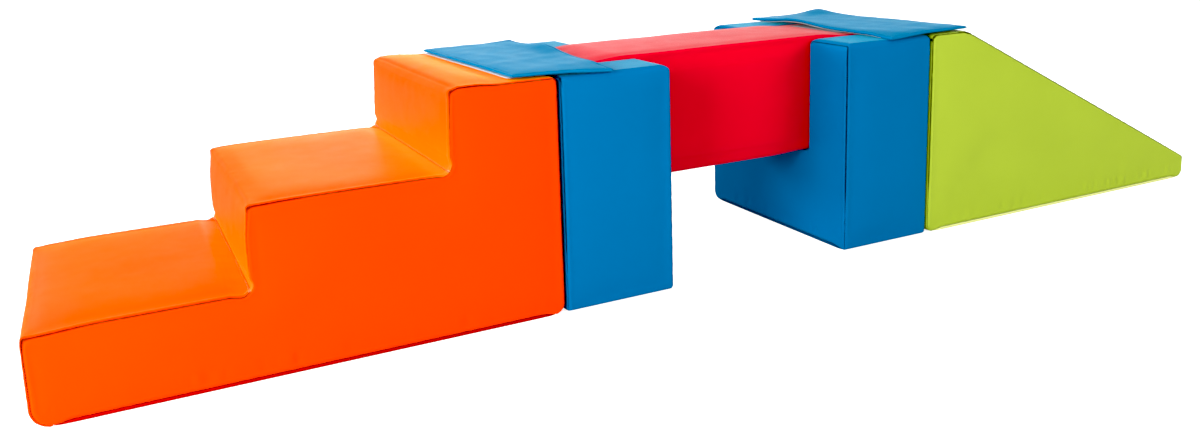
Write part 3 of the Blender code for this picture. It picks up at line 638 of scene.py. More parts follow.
def ease(cover, room, pinches=(), falls=CORNER_FALLS):
    """Dip the seams, pinch them at sharp corners, pucker the cloth beside them and wave the faces a little."""
    faces, notes, seed = cover.all_faces(), cover.notes, SEEDS[cover.name]
    normals, distance, along = vertex_normals(cover.vertices, faces), notes["seam_distance"], notes["along"]
    near = np.clip(1 - distance / SEAM_DIP_REACH, 0, 1) ** 2
    puckers = smooth_noise(along, *PUCKER_WAVES, seed) * np.exp(-distance / PUCKER_REACH) * PUCKER_DEPTH
    folds = smooth_noise(along, *FOLD_WAVES, seed + 2) * smooth_noise(along, *FOLD_GROUPS, seed + 3)
    above_seam = np.exp(-distance / BASE_PUCKER_REACH) * between(distance, *BASE_PUCKER_START)
    puckers += folds * above_seam * notes["resting"] * notes["on_side"] * BASE_PUCKER_DEPTH
    waves = smooth_noise(cover.vertices, *FACE_WAVES, seed + 1, FACE_WAVE_COUNT) * WAVE_DEPTH
    waves *= between(distance, 0.0, WAVE_REACH)
    room_share = np.clip(room(cover.vertices) / SWELL_CAP, 0, 1)
    soft = np.maximum(notes["draw_share"], notes["resting"])
    groove = GROOVE_DEPTH * np.exp(-(distance / GROOVE_REACH) ** 2)
    groove -= RIDGE_RISE * np.exp(-((distance - RIDGE_PLACE) / RIDGE_REACH) ** 2) * room_share * soft
    offset = -SEAM_DIP * near - groove + (puckers + np.where(waves > 0, waves * room_share, waves)) * soft
    for corner, side in pinches:
        column = cover.column_at(cover.outline.arc_place(corner, 0.5))
        point = cover.vertices[cover.band_index(column, 0 if side < 0 else cover.band_shape[1] - 1)]
        gap = np.linalg.norm(cover.vertices - point, axis=1)
        offset -= PINCH_DEPTH * np.exp(-(gap / PINCH_REACH) ** 2)
        fade = 1 - between(gap, 0.0, CORNER_FADE * CORNER_REACH)
        offset -= falls[side > 0] * np.exp(-gap / CORNER_REACH) * fade
        # Painted shade: near each pinched corner the seam distance is cut, so the painted seam shade spreads over
        # the pinch.
        notes["seam_distance"] = notes["seam_distance"] * (
            1 - PINCH_SHADE * np.exp(-(gap / PINCH_REACH) ** 2))
    cover.vertices = cover.vertices + normals * offset[:, None]
    cover.vertices[:, 2] = np.maximum(cover.vertices[:, 2], 0.0)
    cover.normals = vertex_normals(cover.vertices, faces)


def skin(name, points, faces, material):
    """A smooth mesh object of one material."""
    mesh = bpy.data.meshes.new(name)
    mesh.from_pydata(points.tolist(), [], faces)
    mesh.shade_smooth()
    mesh.materials.append(material)
    return add(name, mesh)


def note_on(piece, key, values):
    """Keep a value for each vertex, for the cloth's material."""
    kept = piece.data.attributes.new(key, "FLOAT", "POINT").data
    kept.foreach_set("value", values.astype(np.float32))


def cut_panel(cover, name, faces, material):
    """One panel of a cover as a closed thin shell, with its edges turned in along the seams, and its area."""
    used = np.unique(np.concatenate([np.asarray(face) for face in faces]))
    local = {int(vertex): index for index, vertex in enumerate(used)}
    faces = [[local[int(vertex)] for vertex in face] for face in faces]
    points, normals, distances = cover.vertices[used], cover.normals[used], cover.notes["seam_distance"][used]
    edges = dict.fromkeys((vertex, face[(index + 1) % len(face)]) for face in faces
                          for index, vertex in enumerate(face))
    rim = [edge for edge in edges if (edge[1], edge[0]) not in edges]
    rim_vertices = sorted({vertex for edge in rim for vertex in edge})
    on_rim, neighbours = set(rim_vertices), {}
    for first, second in edges:
        for vertex, other in ((first, second), (second, first)):
            if vertex in on_rim and other not in on_rim:
                neighbours.setdefault(vertex, []).append(other)
    outer, inner = points.copy(), points - normals * CLOTH_THICKNESS
    flange = []
    for vertex in rim_vertices:
        found = neighbours.get(vertex) or [other for pair in rim for other in pair
                                           if vertex in pair and other != vertex]
        way = points[found].mean(0) - points[vertex]
        way -= normals[vertex] * (way @ normals[vertex])
        way /= max(np.linalg.norm(way), TOUCH)
        deep = normals[vertex] * (FLANGE_DEPTH if distances[vertex] < SEAM_ROWS[1] else HEM_DEPTH)
        outer[vertex] = points[vertex] + way * LIP_SETBACK - normals[vertex] * LIP_DROP
        flange.append(points[vertex] + way * LIP_SETBACK / 2 - deep)
        inner[vertex] = points[vertex] + way * (LIP_SETBACK + CLOTH_THICKNESS) - deep
    count = len(points)
    tip = {vertex: 2 * count + index for index, vertex in enumerate(rim_vertices)}
    shell = faces + [[vertex + count for vertex in face[::-1]] for face in faces]
    for first, second in rim:
        shell.append([second, first, tip[first], tip[second]])
        shell.append([tip[second], tip[first], first + count, second + count])
    panel = skin(name, np.concatenate((outer, inner, np.array(flange).reshape(-1, 3))), shell, material)
    # Along the resting bottom edge the seam distance is raised, so the painted seam shade there is fainter.
    shown = distances + REST_SHOW * cover.notes["calm"][used]
    note_on(panel, "seam_distance", np.concatenate((shown, shown, np.zeros(len(rim_vertices)))))
    for key in ("tuck_share", "tuck_glow"):
        shares = cover.notes[key][used]
        note_on(panel, key, np.concatenate((shares, shares, shares[rim_vertices])))
    corner = points[triangle_table(faces)]
    sides = np.cross(corner[:, 1] - corner[:, 0], corner[:, 2] - corner[:, 0])
    return panel, float(np.linalg.norm(sides, axis=1).sum() / 2)


NOISE_MIDDLE, TONE_SHIFT, RUB_SHIFT, SEAM_SHADE = (0.3, 0.7), (0.98, 1.015), (-0.035, 0.035), (0.0011, 0.0038)
TONE_NOISE, RUB_NOISE = {"Scale": 7.0, "Detail": 3.0}, {"Scale": 22.0, "Detail": 5.0}
GRAIN_SIZE, GRAIN_DEPTH, GRAIN_RELIEF, GRAIN_SMOOTHNESS = 0.0011, 0.6, 0.00015, 0.6
VINYL_ROUGHNESS, VINYL_GLOSS, SHEEN_ROUGHNESS = 0.4, 0.17, 0.35
# Painted highlight along the tucks: the tuck colour is the cloth's colour moved this far towards a pale tint.
TUCK_PALENESS, TUCK_TINT = 0.42, (1.0, 0.92, 0.70)


def tint(colour, share=1.0):
    return (*(share * value for value in colour), 1)


def object_place(tree):
    return tree.nodes.new("ShaderNodeTexCoord").outputs["Object"]


def mix(tree, factor, first, second):
    return put(tree, "ShaderNodeMix", {"Factor": factor, "A": first, "B": second}, "Result", data_type="RGBA")


def attribute(tree, name):
    return put(tree, "ShaderNodeAttribute", {}, "Fac", attribute_name=name)


def relief(tree, height, strength, distance, invert=False):
    inputs = {"Strength": strength, "Distance": distance, "Height": height}
    return put(tree, "ShaderNodeBump", inputs, "Normal", invert=invert)


def vinyl_group():
    """Coated fabric: pressed grain and slow changes of tone, with painted shade in the seams, painted warm bounce
    light near tucks and a painted highlight along them.
    """
    group = bpy.data.node_groups.new("coated_cloth", "ShaderNodeTree")
    for name, value in (("Colour", WHITE), ("Seam Shade Colour", BLACK), ("Tuck Highlight Colour", BLACK), ("Bounce Light Colour", BLACK),
                        ("Grain Size", GRAIN_SIZE), ("Grain Depth", GRAIN_DEPTH), ("Roughness", VINYL_ROUGHNESS)):
        kind = "NodeSocketColor" if isinstance(value, tuple) else "NodeSocketFloat"
        group.interface.new_socket(name, in_out="INPUT", socket_type=kind).default_value = value
    for name, kind in (("Colour", "Color"), ("Roughness", "Float"), ("Normal", "Vector")):
        group.interface.new_socket(name, in_out="OUTPUT", socket_type="NodeSocket" + kind)
    entry, place = group.nodes.new("NodeGroupInput").outputs, object_place(group)
    tone = put(group, "ShaderNodeTexNoise", {"Vector": place, **TONE_NOISE}, "Fac")
    tone = remap(group, tone, TONE_SHIFT, NOISE_MIDDLE)
    colour = put(group, "ShaderNodeVectorMath", {0: entry["Colour"], "Scale": tone}, "Vector", operation="SCALE")
    # Painted shade: within a few millimetres of a seam the colour is mixed towards the darker seam colour, as
    # shade in the seam's groove.
    fall = attribute(group, "seam_distance")
    fall = remap(group, fall, (1.0, 0.0), SEAM_SHADE, interpolation_type="SMOOTHSTEP")
    colour = mix(group, fall, colour, entry["Seam Shade Colour"])
    colour = mix(group, attribute(group, "tuck_glow"), colour, entry["Bounce Light Colour"])
    colour = mix(group, attribute(group, "tuck_share"), colour, entry["Tuck Highlight Colour"])
    rub = put(group, "ShaderNodeTexNoise", {"Vector": place, **RUB_NOISE}, "Fac")
    rub = remap(group, rub, RUB_SHIFT, NOISE_MIDDLE)
    rough = put(group, "ShaderNodeMath", {0: entry["Roughness"], 1: rub}, operation="ADD")
    per_metre = put(group, "ShaderNodeMath", {0: 1.0, 1: entry["Grain Size"]}, operation="DIVIDE")
    grain = {"Vector": place, "Scale": per_metre, "Smoothness": GRAIN_SMOOTHNESS}
    grain = put(group, "ShaderNodeTexVoronoi", grain, "Distance", feature="SMOOTH_F1")
    feed(group, group.nodes.new("NodeGroupOutput"), {
        "Colour": colour, "Roughness": rough, "Normal": relief(group, grain, entry["Grain Depth"], GRAIN_RELIEF)})
    return group


coated_cloth = vinyl_group()


def vinyl(name, colour, sheen_tint=(1, 1, 1), sheen=0.0, seam_share=0.14, glow=None):
    material, tree, shader = new_material(name)
    cloth = tree.nodes.new("ShaderNodeGroup")
    cloth.node_tree = coated_cloth
    # The painted highlight colour for the tuck creases.
    tuck_highlight = [value + TUCK_PALENESS * (pale - value) for value, pale in zip(colour, TUCK_TINT)]
    feed(tree, cloth, {"Colour": tint(colour), "Seam Shade Colour": tint(colour, seam_share),
                       "Tuck Highlight Colour": tint(tuck_highlight), "Bounce Light Colour": tint(glow or colour),
                       "Roughness": VINYL_ROUGHNESS})
    feed(tree, shader, {
        "Base Color": cloth.outputs["Colour"], "Roughness": cloth.outputs["Roughness"],
        "Normal": cloth.outputs["Normal"], "Specular IOR Level": VINYL_GLOSS, "Sheen Weight": sheen,
        "Sheen Roughness": SHEEN_ROUGHNESS, "Sheen Tint": tint(sheen_tint)})
    return material


def textured(name, texture, out, settings, tones, strength, depth, roughness, invert=False):
    """A material whose one fine texture mixes two tones and presses the surface."""
    material, tree, shader = new_material(name)
    value = put(tree, texture, {"Vector": object_place(tree), **settings}, out)
    feed(tree, shader, {"Base Color": mix(tree, value, *tones), "Roughness": roughness,
                        "Normal": relief(tree, value, strength, depth, invert)})
    return material


def thread(name, colour):
    """Twisted polyester thread, with its lay drawn across each stitch."""
    return textured(name, "ShaderNodeTexNoise", "Fac", {"Scale": 1600.0, "Detail": 2.0},
                    (tint(colour, 0.75), tint(colour)), 0.4, 0.0001, 0.6)


def stitch_tree():
    """Geometry nodes that set stitches along a line, evenly spaced, turned with it and then made real."""
    tree = bpy.data.node_groups.new("stitch_row", "GeometryNodeTree")
    for name, kind in (("Line", "Geometry"), ("Pitch", "Float"), ("Length", "Float"), ("Width", "Float"),
                       ("Height", "Float"), ("Thread", "Material")):
        tree.interface.new_socket(name, in_out="INPUT", socket_type="NodeSocket" + kind)
    tree.interface.new_socket("Stitches", in_out="OUTPUT", socket_type="NodeSocketGeometry")
    entry = tree.nodes.new("NodeGroupInput").outputs
    line = put(tree, "GeometryNodeMeshToCurve", {"Mesh": entry["Line"]})
    line = put(tree, "GeometryNodeResampleCurve", {"Curve": line, "Length": entry["Pitch"]}, mode="LENGTH")
    tangent = put(tree, "GeometryNodeInputTangent", {})
    aim = put(tree, "FunctionNodeAlignRotationToVector", {"Vector": tangent}, axis="X")
    bead = put(tree, "GeometryNodeMeshUVSphere", {"Segments": 8, "Rings": 4, "Radius": 0.5})
    size = put(tree, "ShaderNodeCombineXYZ", {"X": entry["Length"], "Y": entry["Width"], "Z": entry["Height"]})
    made = {"Points": line, "Instance": bead, "Rotation": aim, "Scale": size}
    made = put(tree, "GeometryNodeInstanceOnPoints", made)
    made = put(tree, "GeometryNodeRealizeInstances", {"Geometry": made})
    made = put(tree, "GeometryNodeSetShadeSmooth", {"Geometry": made})
    made = put(tree, "GeometryNodeSetMaterial", {"Geometry": made, "Material": entry["Thread"]})
    feed(tree, tree.nodes.new("NodeGroupOutput"), {"Stitches": made})
    return tree


stitch_row = stitch_tree()


def stitch(name, lines, material, pitch, length, width, height):
    """Run the stitch nodes on lines of points and keep the result as a plain mesh object."""
    points, edges = [], []
    for line, closed in lines:
        start, end = len(points), len(points) + len(line)
        points += [tuple(point) for point in line]
        edges += [(index, index + 1) for index in range(start, end - 1)]
        edges += [(end - 1, start)] if closed else []
    mesh = bpy.data.meshes.new(name + "_line")
    mesh.from_pydata(points, edges, [])
    carrier = add(name + "_line", mesh)
    modifier = carrier.modifiers.new(name, "NODES")
    modifier.node_group = stitch_row
    values = {"Pitch": pitch, "Length": length, "Width": width, "Height": height, "Thread": material}
    for item in stitch_row.interface.items_tree:
        if item.name in values:
            modifier[item.identifier] = values[item.name]
    made = bpy.data.meshes.new_from_object(evaluated(carrier))
    made.name = name
    bpy.data.objects.remove(carrier)
    return add(name, made)


SEAM_STITCH, STITCH_SINK = (0.0045, 0.0032, 0.0013, 0.0013), 0.0006
covers = {}


def dress(cover, body, thread_material, panels):
    """Cut a cover into its panels in place of its CAD parts, hang them under their body, and show the stitches
    down in its seams.
    """
    for name, faces, material, node, flat in panels:
        panel, area = cut_panel(cover, name, faces, material)
        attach(panel, body)
        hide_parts(node)
    lines = [(cover.vertices[numbers] - cover.normals[numbers] * STITCH_SINK, closed)
             for numbers, closed in cover.seam_lines()]
    stitches = stitch(cover.name + "_stitches", lines, thread_material, *SEAM_STITCH)
    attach(stitches, body)
    covers[body] = cover


stairs_left, stairs_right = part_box("steps_wrap_lower")[0].x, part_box("steps_end_panel")[1].x
row_height, half_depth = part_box("steps_wrap_upper")[1].z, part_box("steps_rear_panel")[1].y
flap_cover_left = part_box("left_flap_outer_leaf")[0].x
FOAM_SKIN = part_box("steps_foam_lower")[0].z
RISER, row_width, stairs_length = row_height / 3, 2 * half_depth, stairs_right - stairs_left
second_riser, third_riser = (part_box(node)[0].x - FOAM_SKIN - stairs_left
                             for node in ("steps_foam_middle", "steps_foam_upper"))
FOOT_ROUND, BASE_ROUND, NOSE_ROUND, TOP_ROUND, TUCK_ROUND = 0.032, 0.021, 0.008, 0.012, 0.018
NOSE_DROOP, NOSE_DROOP_REACH, FOOT_DROOP, NOSE_FALLS = 0.002, 0.12, 0.003, (0.0008, 0.0034)
JOINT_ROOM, ROOM_FADE, EDGE_ZONE = 0.001, 0.03, 0.006
LONG_SLOT, SHORT_SLOT, SLOT_HALF_WIDTH = 0.292, 0.162, 0.006
NOSES, SIDES, SHORT_RISE = (3, 5, 7), (-1, 1), (0.0, 0.012)
STAIRS_CROWNS = (  # corner before, corner after, height, rise after the first, fall before the second
    (6, 7, 0.0030, (0.0, 0.02), (0.0, 0.10)), (4, 5, 0.0010, (0.0, 0.02), (0.0, 0.06)),
    (2, 3, 0.0036, (0.10, 0.15), SHORT_RISE), (5, 6, 0.0040, (0.0, 0.06), SHORT_RISE),
    (3, 4, 0.0030, (0.02, 0.12), SHORT_RISE))
# Seats: side, from and to a place on a corner, fade, depth. Painted bounce light: corner, share and reach before
# and after it.
STAIRS_SEATS = ((-1, (5, 0.4), (6, 0.9), 0.010, 0.0022), (-1, (3, 0.5), (4, 0.9), 0.010, 0.0010))
STAIRS_BOUNCE_LIGHTS = ((4, 0.50, 0.07, 0.70, 0.030), (6, 0.60, 0.030, 0.14, 0.030))


def stairs_room(vertices):
    """How far the stairs' cover may swell: little towards the block, not at all under the flap."""
    x, _, z = vertices.T
    room = np.where(x > stairs_right - EDGE_ZONE, JOINT_ROOM, SWELL_CAP)
    under_flap = between(x, flap_cover_left - ROOM_FADE, flap_cover_left)
    return np.where(z > row_height - EDGE_ZONE, room * (1 - under_flap), room)


stairs_corners = [
    (0.0, 0.0, FOOT_ROUND, 0), (stairs_length, 0.0, BASE_ROUND, 1), (stairs_length, row_height, TOP_ROUND, 1),
    (third_riser, row_height, NOSE_ROUND, 1), (third_riser, 2 * RISER, TUCK_ROUND, 1),
    (second_riser, 2 * RISER, NOSE_ROUND, 1), (second_riser, RISER, TUCK_ROUND, 1), (0.0, RISER, NOSE_ROUND, 1),
]
stairs = Cover(
    "stairs", stairs_corners, half_depth, lambda a, b, z: (stairs_left + a, b, z),
    [(0, 1.0), (1, 0.0), (2, 0.0), (4, 0.5), (6, 0.5)], (True, 0.0, LONG_SLOT, SLOT_HALF_WIDTH),
    [(side, nose, nose, NOSE_DROOP_REACH, NOSE_DROOP_REACH / 3, NOSE_DROOP) for nose in NOSES for side in SIDES]
    + [(side, 0, 0, 1.2 * NOSE_DROOP_REACH, 0.001, FOOT_DROOP) for side in SIDES],
    tucks=(3, 4), base_turn=BASE_TURN, noses=NOSES, crowns=STAIRS_CROWNS, seats=STAIRS_SEATS, glows=STAIRS_BOUNCE_LIGHTS)
swell(stairs, stairs_room)
ease(stairs, stairs_room, [(nose, side) for nose in NOSES for side in SIDES], NOSE_FALLS)
stairs_base_vinyl = vinyl("stairs_base_vinyl", STAIRS_BASE_SHADE_RED)
# The stairs' cloth carries painted seam shade, a painted highlight along the tucks and painted bounce light near
# them.
stairs_vinyl = vinyl("stairs_vinyl", STAIRS_ORANGE, (1.0, 0.52, 0.06), 0.55, 0.26, glow=(0.98, 0.27, 0.035))
floor_front, floor_back, back_top, upper_tuck, lower_tuck = stairs.seams
dress(stairs, "steps", thread("stairs_thread", (0.10, 0.004, 0.002)),
      (
          ("stairs_front_side", stairs.side(-1), stairs_vinyl, "steps_front_panel", (stairs_length, row_height)),
          ("stairs_rear_side", stairs.side(1), stairs_vinyl, "steps_rear_panel", (stairs_length, row_height)),
          ("stairs_base", stairs.slotted(floor_front, floor_back), stairs_base_vinyl, "steps_base_panel",
           (stairs_length, row_width)),
          ("stairs_back", stairs.strip(floor_back, back_top), stairs_vinyl, "steps_end_panel",
           (row_height, row_width)),
          ("stairs_upper_wrap", stairs.strip(back_top, upper_tuck), stairs_vinyl, "steps_wrap_upper",
           (stairs_length - third_riser + RISER, row_width)),
          ("stairs_middle_wrap", stairs.strip(upper_tuck, lower_tuck), stairs_vinyl, "steps_wrap_middle",
           (third_riser - second_riser + RISER, row_width)),
          ("stairs_lower_wrap", stairs.strip(lower_tuck, floor_front), stairs_vinyl, "steps_wrap_lower",
           (second_riser + RISER, row_width))))

# Notched blocks: two uprights of the row, each a U of foam in a blue cover. One wrap runs up the front,
# over the posts and through the notch, and a U-shaped panel closes each side.
BLOCK_BLUE = (0.0, 0.146, 0.352)
NOTCH_ROUND, BLOCK_BASE_ROUND, POST_ROUND, POST_SEAM_OVER = 0.009, 0.008, 0.020, 0.010
NOTCH_PLAY, NOTCH_FLOOR_PLAY, NOTCH_ZONE = 0.0015, 0.0003, 0.003
beam_low, beam_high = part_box("beam_wrap")
notch_half, notch_floor = beam_high.y + NOTCH_PLAY, beam_low.z - NOTCH_FLOOR_PLAY
# Painted shade: the base panel is the blue darkened, for the shade along the floor contact.
block_base_vinyl = vinyl("block_base_vinyl", tuple(BASE_SHADE_TONE * value for value in BLOCK_BLUE))
block_vinyl = vinyl("block_vinyl", BLOCK_BLUE, (0.10, 0.74, 0.90), 0.34)
block_thread = thread("block_thread", (0.0, 0.03, 0.10))
block_corners = [
    (-half_depth, 0.0, BLOCK_BASE_ROUND, 0), (half_depth, 0.0, BASE_ROUND, 1),
    (half_depth, row_height, TOP_ROUND, 1), (notch_half, row_height, TOP_ROUND, 1),
    (notch_half, notch_floor, NOTCH_ROUND, 0), (-notch_half, notch_floor, NOTCH_ROUND, 1),
    (-notch_half, row_height, TOP_ROUND, 1), (-half_depth, row_height, TOP_ROUND, 1),
]


def block_room(vertices):
    """How far a block's cover may swell: not in the notch or under a flap, and little towards its neighbour."""
    x, y, z = vertices.T
    room = np.where(np.abs(x) > beam_high.x - JOINT_ROOM, JOINT_ROOM, SWELL_CAP)
    room = np.where((np.abs(y) < notch_half + NOTCH_ZONE) & (z > notch_floor - NOTCH_ZONE), 0.0, room)
    return np.where(z > row_height - EDGE_ZONE, 0.0, room)


def round_top(cover, centre_x, side):
    """Round the edge along a block's top, on the side where the cloth is pulled over it."""
    inset = cover.half + side * (cover.vertices[:, 0] - centre_x)
    drop = row_height - cover.vertices[:, 2]
    from_centre = np.hypot(POST_ROUND - inset, POST_ROUND - drop)
    near_edge = (inset < POST_ROUND) & (drop < POST_ROUND)
    pulled = np.where(near_edge, POST_ROUND / np.maximum(from_centre, POST_ROUND), 1.0)
    inset, drop = POST_ROUND - (POST_ROUND - inset) * pulled, POST_ROUND - (POST_ROUND - drop) * pulled
    cover.vertices[:, 0] = centre_x + side * (inset - cover.half)
    cover.vertices[:, 2] = row_height - drop
    cover.normals = vertex_normals(cover.vertices, cover.all_faces())


for block, slide_side in (("left_block", -1), ("right_block", 1)):
    low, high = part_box(block + "_left_panel")[0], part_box(block + "_right_panel")[1]
    centre_x = (low.x + high.x) / 2
    cover = Cover(
        block, block_corners, (high.x - low.x) / 2, lambda a, b, z: (centre_x + b, a, z), [(0, 1.0), (1, 0.0)],
        (True, 0.0, SHORT_SLOT, SLOT_HALF_WIDTH),
        [(side, corner, corner, NOSE_DROOP_REACH / 2, NOSE_DROOP_REACH / 2, NOSE_DROOP / 2)
         for corner in (2, 7) for side in SIDES]
        + [(-slide_side, *post, POST_ROUND, POST_ROUND, -POST_SEAM_OVER) for post in ((2, 3), (6, 7))],
        base_turn=BASE_TURN)
    swell(cover, block_room)
    ease(cover, block_room, [(corner, slide_side) for corner in (2, 3, 6, 7)])
    round_top(cover, centre_x, slide_side)
    floor_front, floor_back = cover.seams
    dress(cover, block, block_thread, (
            (block + "_left_side", cover.side(-1), block_vinyl, block + "_left_panel", (row_width, row_height)),
            (block + "_right_side", cover.side(1), block_vinyl, block + "_right_panel", (row_width, row_height)),
            (block + "_floor", cover.slotted(floor_front, floor_back), block_base_vinyl, block + "_base_panel",
             (row_width, 2 * cover.half)),
            (block + "_over", cover.strip(floor_back, floor_front), block_vinyl, block + "_wrap",
             (row_width + 4 * row_height - 2 * notch_floor, 2 * cover.half))))

# Beam: a square bar of foam in a red cover that rests in both notches. One sleeve goes round its four long
# sides and a cap is sewn in at each end.
BEAM_RED = (0.72, 0.0, 0.028)
BEAM_ROUND, BEAM_TOP_ROUND, BEAM_TOP_SWELL = 0.0125, 0.0065, 0.25
BEAM_PLUMP_TOP, BEAM_PLUMP_UNDER, BEAM_PLUMP_FADE, BEAM_PLUMP_GAP = 0.0065, 0.0035, 0.09, 0.002
beam_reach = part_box("beam_right_cap")[1].x
block_inner = -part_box("left_block_right_panel")[1].x
flap_inner = -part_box("left_flap_inner_leaf")[1].x
beam_depth, beam_height = beam_high.y - beam_low.y, beam_high.z - beam_low.z


def beam_room(vertices):
    """How far the beam's cover may swell: only over the gap, and not under the flaps."""
    out = np.abs(vertices[:, 0])
    gap = 1 - between(out, block_inner - 2 * ROOM_FADE, block_inner)
    open_top = 1 - between(out, flap_inner - ROOM_FADE, flap_inner)
    free = np.where(vertices[:, 2] > beam_high.z - EDGE_ZONE, BEAM_TOP_SWELL * open_top, gap)
    return np.where(out > beam_reach - JOINT_ROOM, JOINT_ROOM, free * SWELL_CAP)


beam_corners = [(beam_low.y, 0.0, BEAM_ROUND, 0), (beam_high.y, 0.0, BEAM_ROUND, 1),
                (beam_high.y, beam_height, BEAM_TOP_ROUND, 1), (beam_low.y, beam_height, BEAM_TOP_ROUND, 1)]
beam = Cover("beam", beam_corners, beam_reach, lambda a, b, z: (b, a, beam_low.z + z), [],
             (False, 0.0, LONG_SLOT, SLOT_HALF_WIDTH))
swell(beam, beam_room)
from_middle = np.abs(beam.vertices[:, 0])
mid_gap, mid_top = (1 - between(from_middle, end - BEAM_PLUMP_FADE, end - BEAM_PLUMP_GAP)
                    for end in (block_inner, flap_inner))
height_share = np.clip((beam.vertices[:, 2] - beam_low.z) / beam_height, 0, 1)
beam.vertices[:, 2] += BEAM_PLUMP_TOP * mid_top * between(height_share, 0.5, 1)
beam.vertices[:, 2] -= BEAM_PLUMP_UNDER * mid_gap * between(height_share, 0.5, 0)
ease(beam, beam_room)
beam_vinyl = vinyl("beam_vinyl", BEAM_RED, (1.0, 0.72, 0.60), 0.17)
dress(beam, "beam", thread("beam_thread", (0.18, 0.0, 0.01)), (
    ("beam_sleeve", beam.slotted(0.0, 0.0), beam_vinyl, "beam_wrap",
     (2 * (beam_high.y - beam_low.y + beam_high.z - beam_low.z), 2 * beam_reach)),
    ("beam_left_end", beam.side(-1), beam_vinyl, "beam_left_cap", (beam_depth, beam_height)),
    ("beam_right_end", beam.side(1), beam_vinyl, "beam_right_cap", (beam_depth, beam_height))))

# Ramp: a wedge of foam in a green cover. Its top strip runs over the flat top, down the slope and round the
# toe, and two side panels and the tall back are sewn to it.
# The ramp's base colour is paler than its cloth: a painted highlight along the bottom edge.
RAMP_GREEN, RAMP_BASE_HIGHLIGHT_GREEN = (0.40, 0.52, 0.050), (0.79, 0.82, 0.34)
RAMP_TOP_LENGTH, RAMP_TOE_HEIGHT = 0.105, 0.055
ramp_start, ramp_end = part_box("ramp_end_panel")[0].x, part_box("ramp_top_wrap")[1].x
flap_cover_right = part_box("right_flap_outer_leaf")[1].x
ramp_length = ramp_end - ramp_start
ramp_corners = [(0.0, 0.0, BASE_ROUND, 0), (ramp_length, 0.0, BASE_ROUND, 1),
                (ramp_length, RAMP_TOE_HEIGHT, NOSE_ROUND, 1), (RAMP_TOP_LENGTH, row_height, TOP_ROUND, 1),
                (0.0, row_height, TOP_ROUND, 1)]


def ramp_room(vertices):
    """How far the ramp's cover may swell: little towards the block, not at all under the flap."""
    x, _, z = vertices.T
    room = np.where(x < ramp_start + EDGE_ZONE, JOINT_ROOM, SWELL_CAP)
    under_flap = 1 - between(x, flap_cover_right, flap_cover_right + ROOM_FADE)
    return np.where(z > row_height - EDGE_ZONE, room * (1 - under_flap), room)


ramp = Cover(
    "ramp", ramp_corners, half_depth, lambda a, b, z: (ramp_start + a, b, z), [(0, 1.0), (1, 0.0), (4, 1.0)],
    (True, 0.0, LONG_SLOT, SLOT_HALF_WIDTH),
    [(side, corner, corner, NOSE_DROOP_REACH / 3, NOSE_DROOP_REACH / 3, NOSE_DROOP / 3)
     for corner in (2, 3) for side in SIDES], base_turn=BASE_TURN)
swell(ramp, ramp_room)
ease(ramp, ramp_room, [(corner, side) for corner in (2, 3, 4) for side in SIDES])
ramp_vinyl = vinyl("ramp_vinyl", RAMP_GREEN, (0.9, 1.0, 0.5), 0.10)
floor_front, floor_back, back_top = ramp.seams
slope_length = math.hypot(ramp_length - RAMP_TOP_LENGTH, row_height - RAMP_TOE_HEIGHT)
dress(ramp, "ramp", thread("ramp_thread", (0.10, 0.17, 0.01)), (
    ("ramp_front_side", ramp.side(-1), ramp_vinyl, "ramp_front_panel", (ramp_length, row_height)),
    ("ramp_rear_side", ramp.side(1), ramp_vinyl, "ramp_rear_panel", (ramp_length, row_height)),
    ("ramp_floor", ramp.slotted(floor_front, floor_back), vinyl("ramp_base_vinyl", RAMP_BASE_HIGHLIGHT_GREEN),
     "ramp_base_panel", (ramp_length, row_width)),
    ("ramp_slope", ramp.strip(floor_back, back_top), ramp_vinyl, "ramp_top_wrap",
     (RAMP_TOP_LENGTH + slope_length + RAMP_TOE_HEIGHT, row_width)),
    ("ramp_back", ramp.strip(back_top, floor_front), ramp_vinyl, "ramp_end_panel", (row_height, row_width))))

# Joining flaps: two thin padded mats of the blue cloth, turned in and topstitched round the edge. Each lies
# over a joint of the row: its inner half on the beam, its outer half on the next piece.
FLAP_BLUE = (0.0, 0.172, 0.36)
FLAP_EDGE_ROUND, FLAP_HEM_THIN, FLAP_HEM_WIDTH, FLAP_BEND, FLAP_STEP = 0.0045, 0.0009, 0.028, 0.015, 0.008
FLAP_TOPSTITCH, FLAP_CREASE_DEPTH, FLAP_CREASE_WIDTH, FLAP_PUCKER = 0.007, 0.0005, 0.0016, 0.35
FLAP_PUCKERS, FLAP_WAVES, FLAP_WANDER = (0.014, 0.05, 51), (0.05, 0.2, 53), 0.0004  # wavelengths and seed
BULGE_REACH, DROOP_START, DROOP_END = 0.28, 0.17, 0.252
FLAP_CLOSE = (0.0, 0.0004, 0.0012, 0.0024, 0.004, 0.0056, 0.0064, 0.007, 0.0076, 0.0084, 0.0105, 0.014)
FLAP_STITCH, RIM_STEPS = (0.0045, 0.0034, 0.0009, 0.0009), 60
flap_vinyl = vinyl("flap_vinyl", FLAP_BLUE, (0.05, 0.48, 0.72), 0.28)
flap_thread = thread("flap_thread", (0.02, 0.16, 0.36))


def shell_faces(shape, top_of, bottom_of):
    """Quads of an upper and a lower grid of points, turned outwards on both."""
    faces = []
    for i in range(shape[0] - 1):
        for j in range(shape[1] - 1):
            loop = [(i, j), (i + 1, j), (i + 1, j + 1), (i, j + 1)]
            faces += [[top_of(a, b) for a, b in loop], [bottom_of(a, b) for a, b in reversed(loop)]]
    return faces


def walk(corners, count=None, step=0.01):
    """Places along a closed line of corners: so many on each side, or about a step apart."""
    for index, (x0, y0) in enumerate(corners):
        x1, y1 = corners[(index + 1) % len(corners)]
        steps = count or max(1, round(math.hypot(x1 - x0, y1 - y0) / step))
        for number in range(steps):
            yield x0 + (x1 - x0) * number / steps, y0 + (y1 - y0) * number / steps


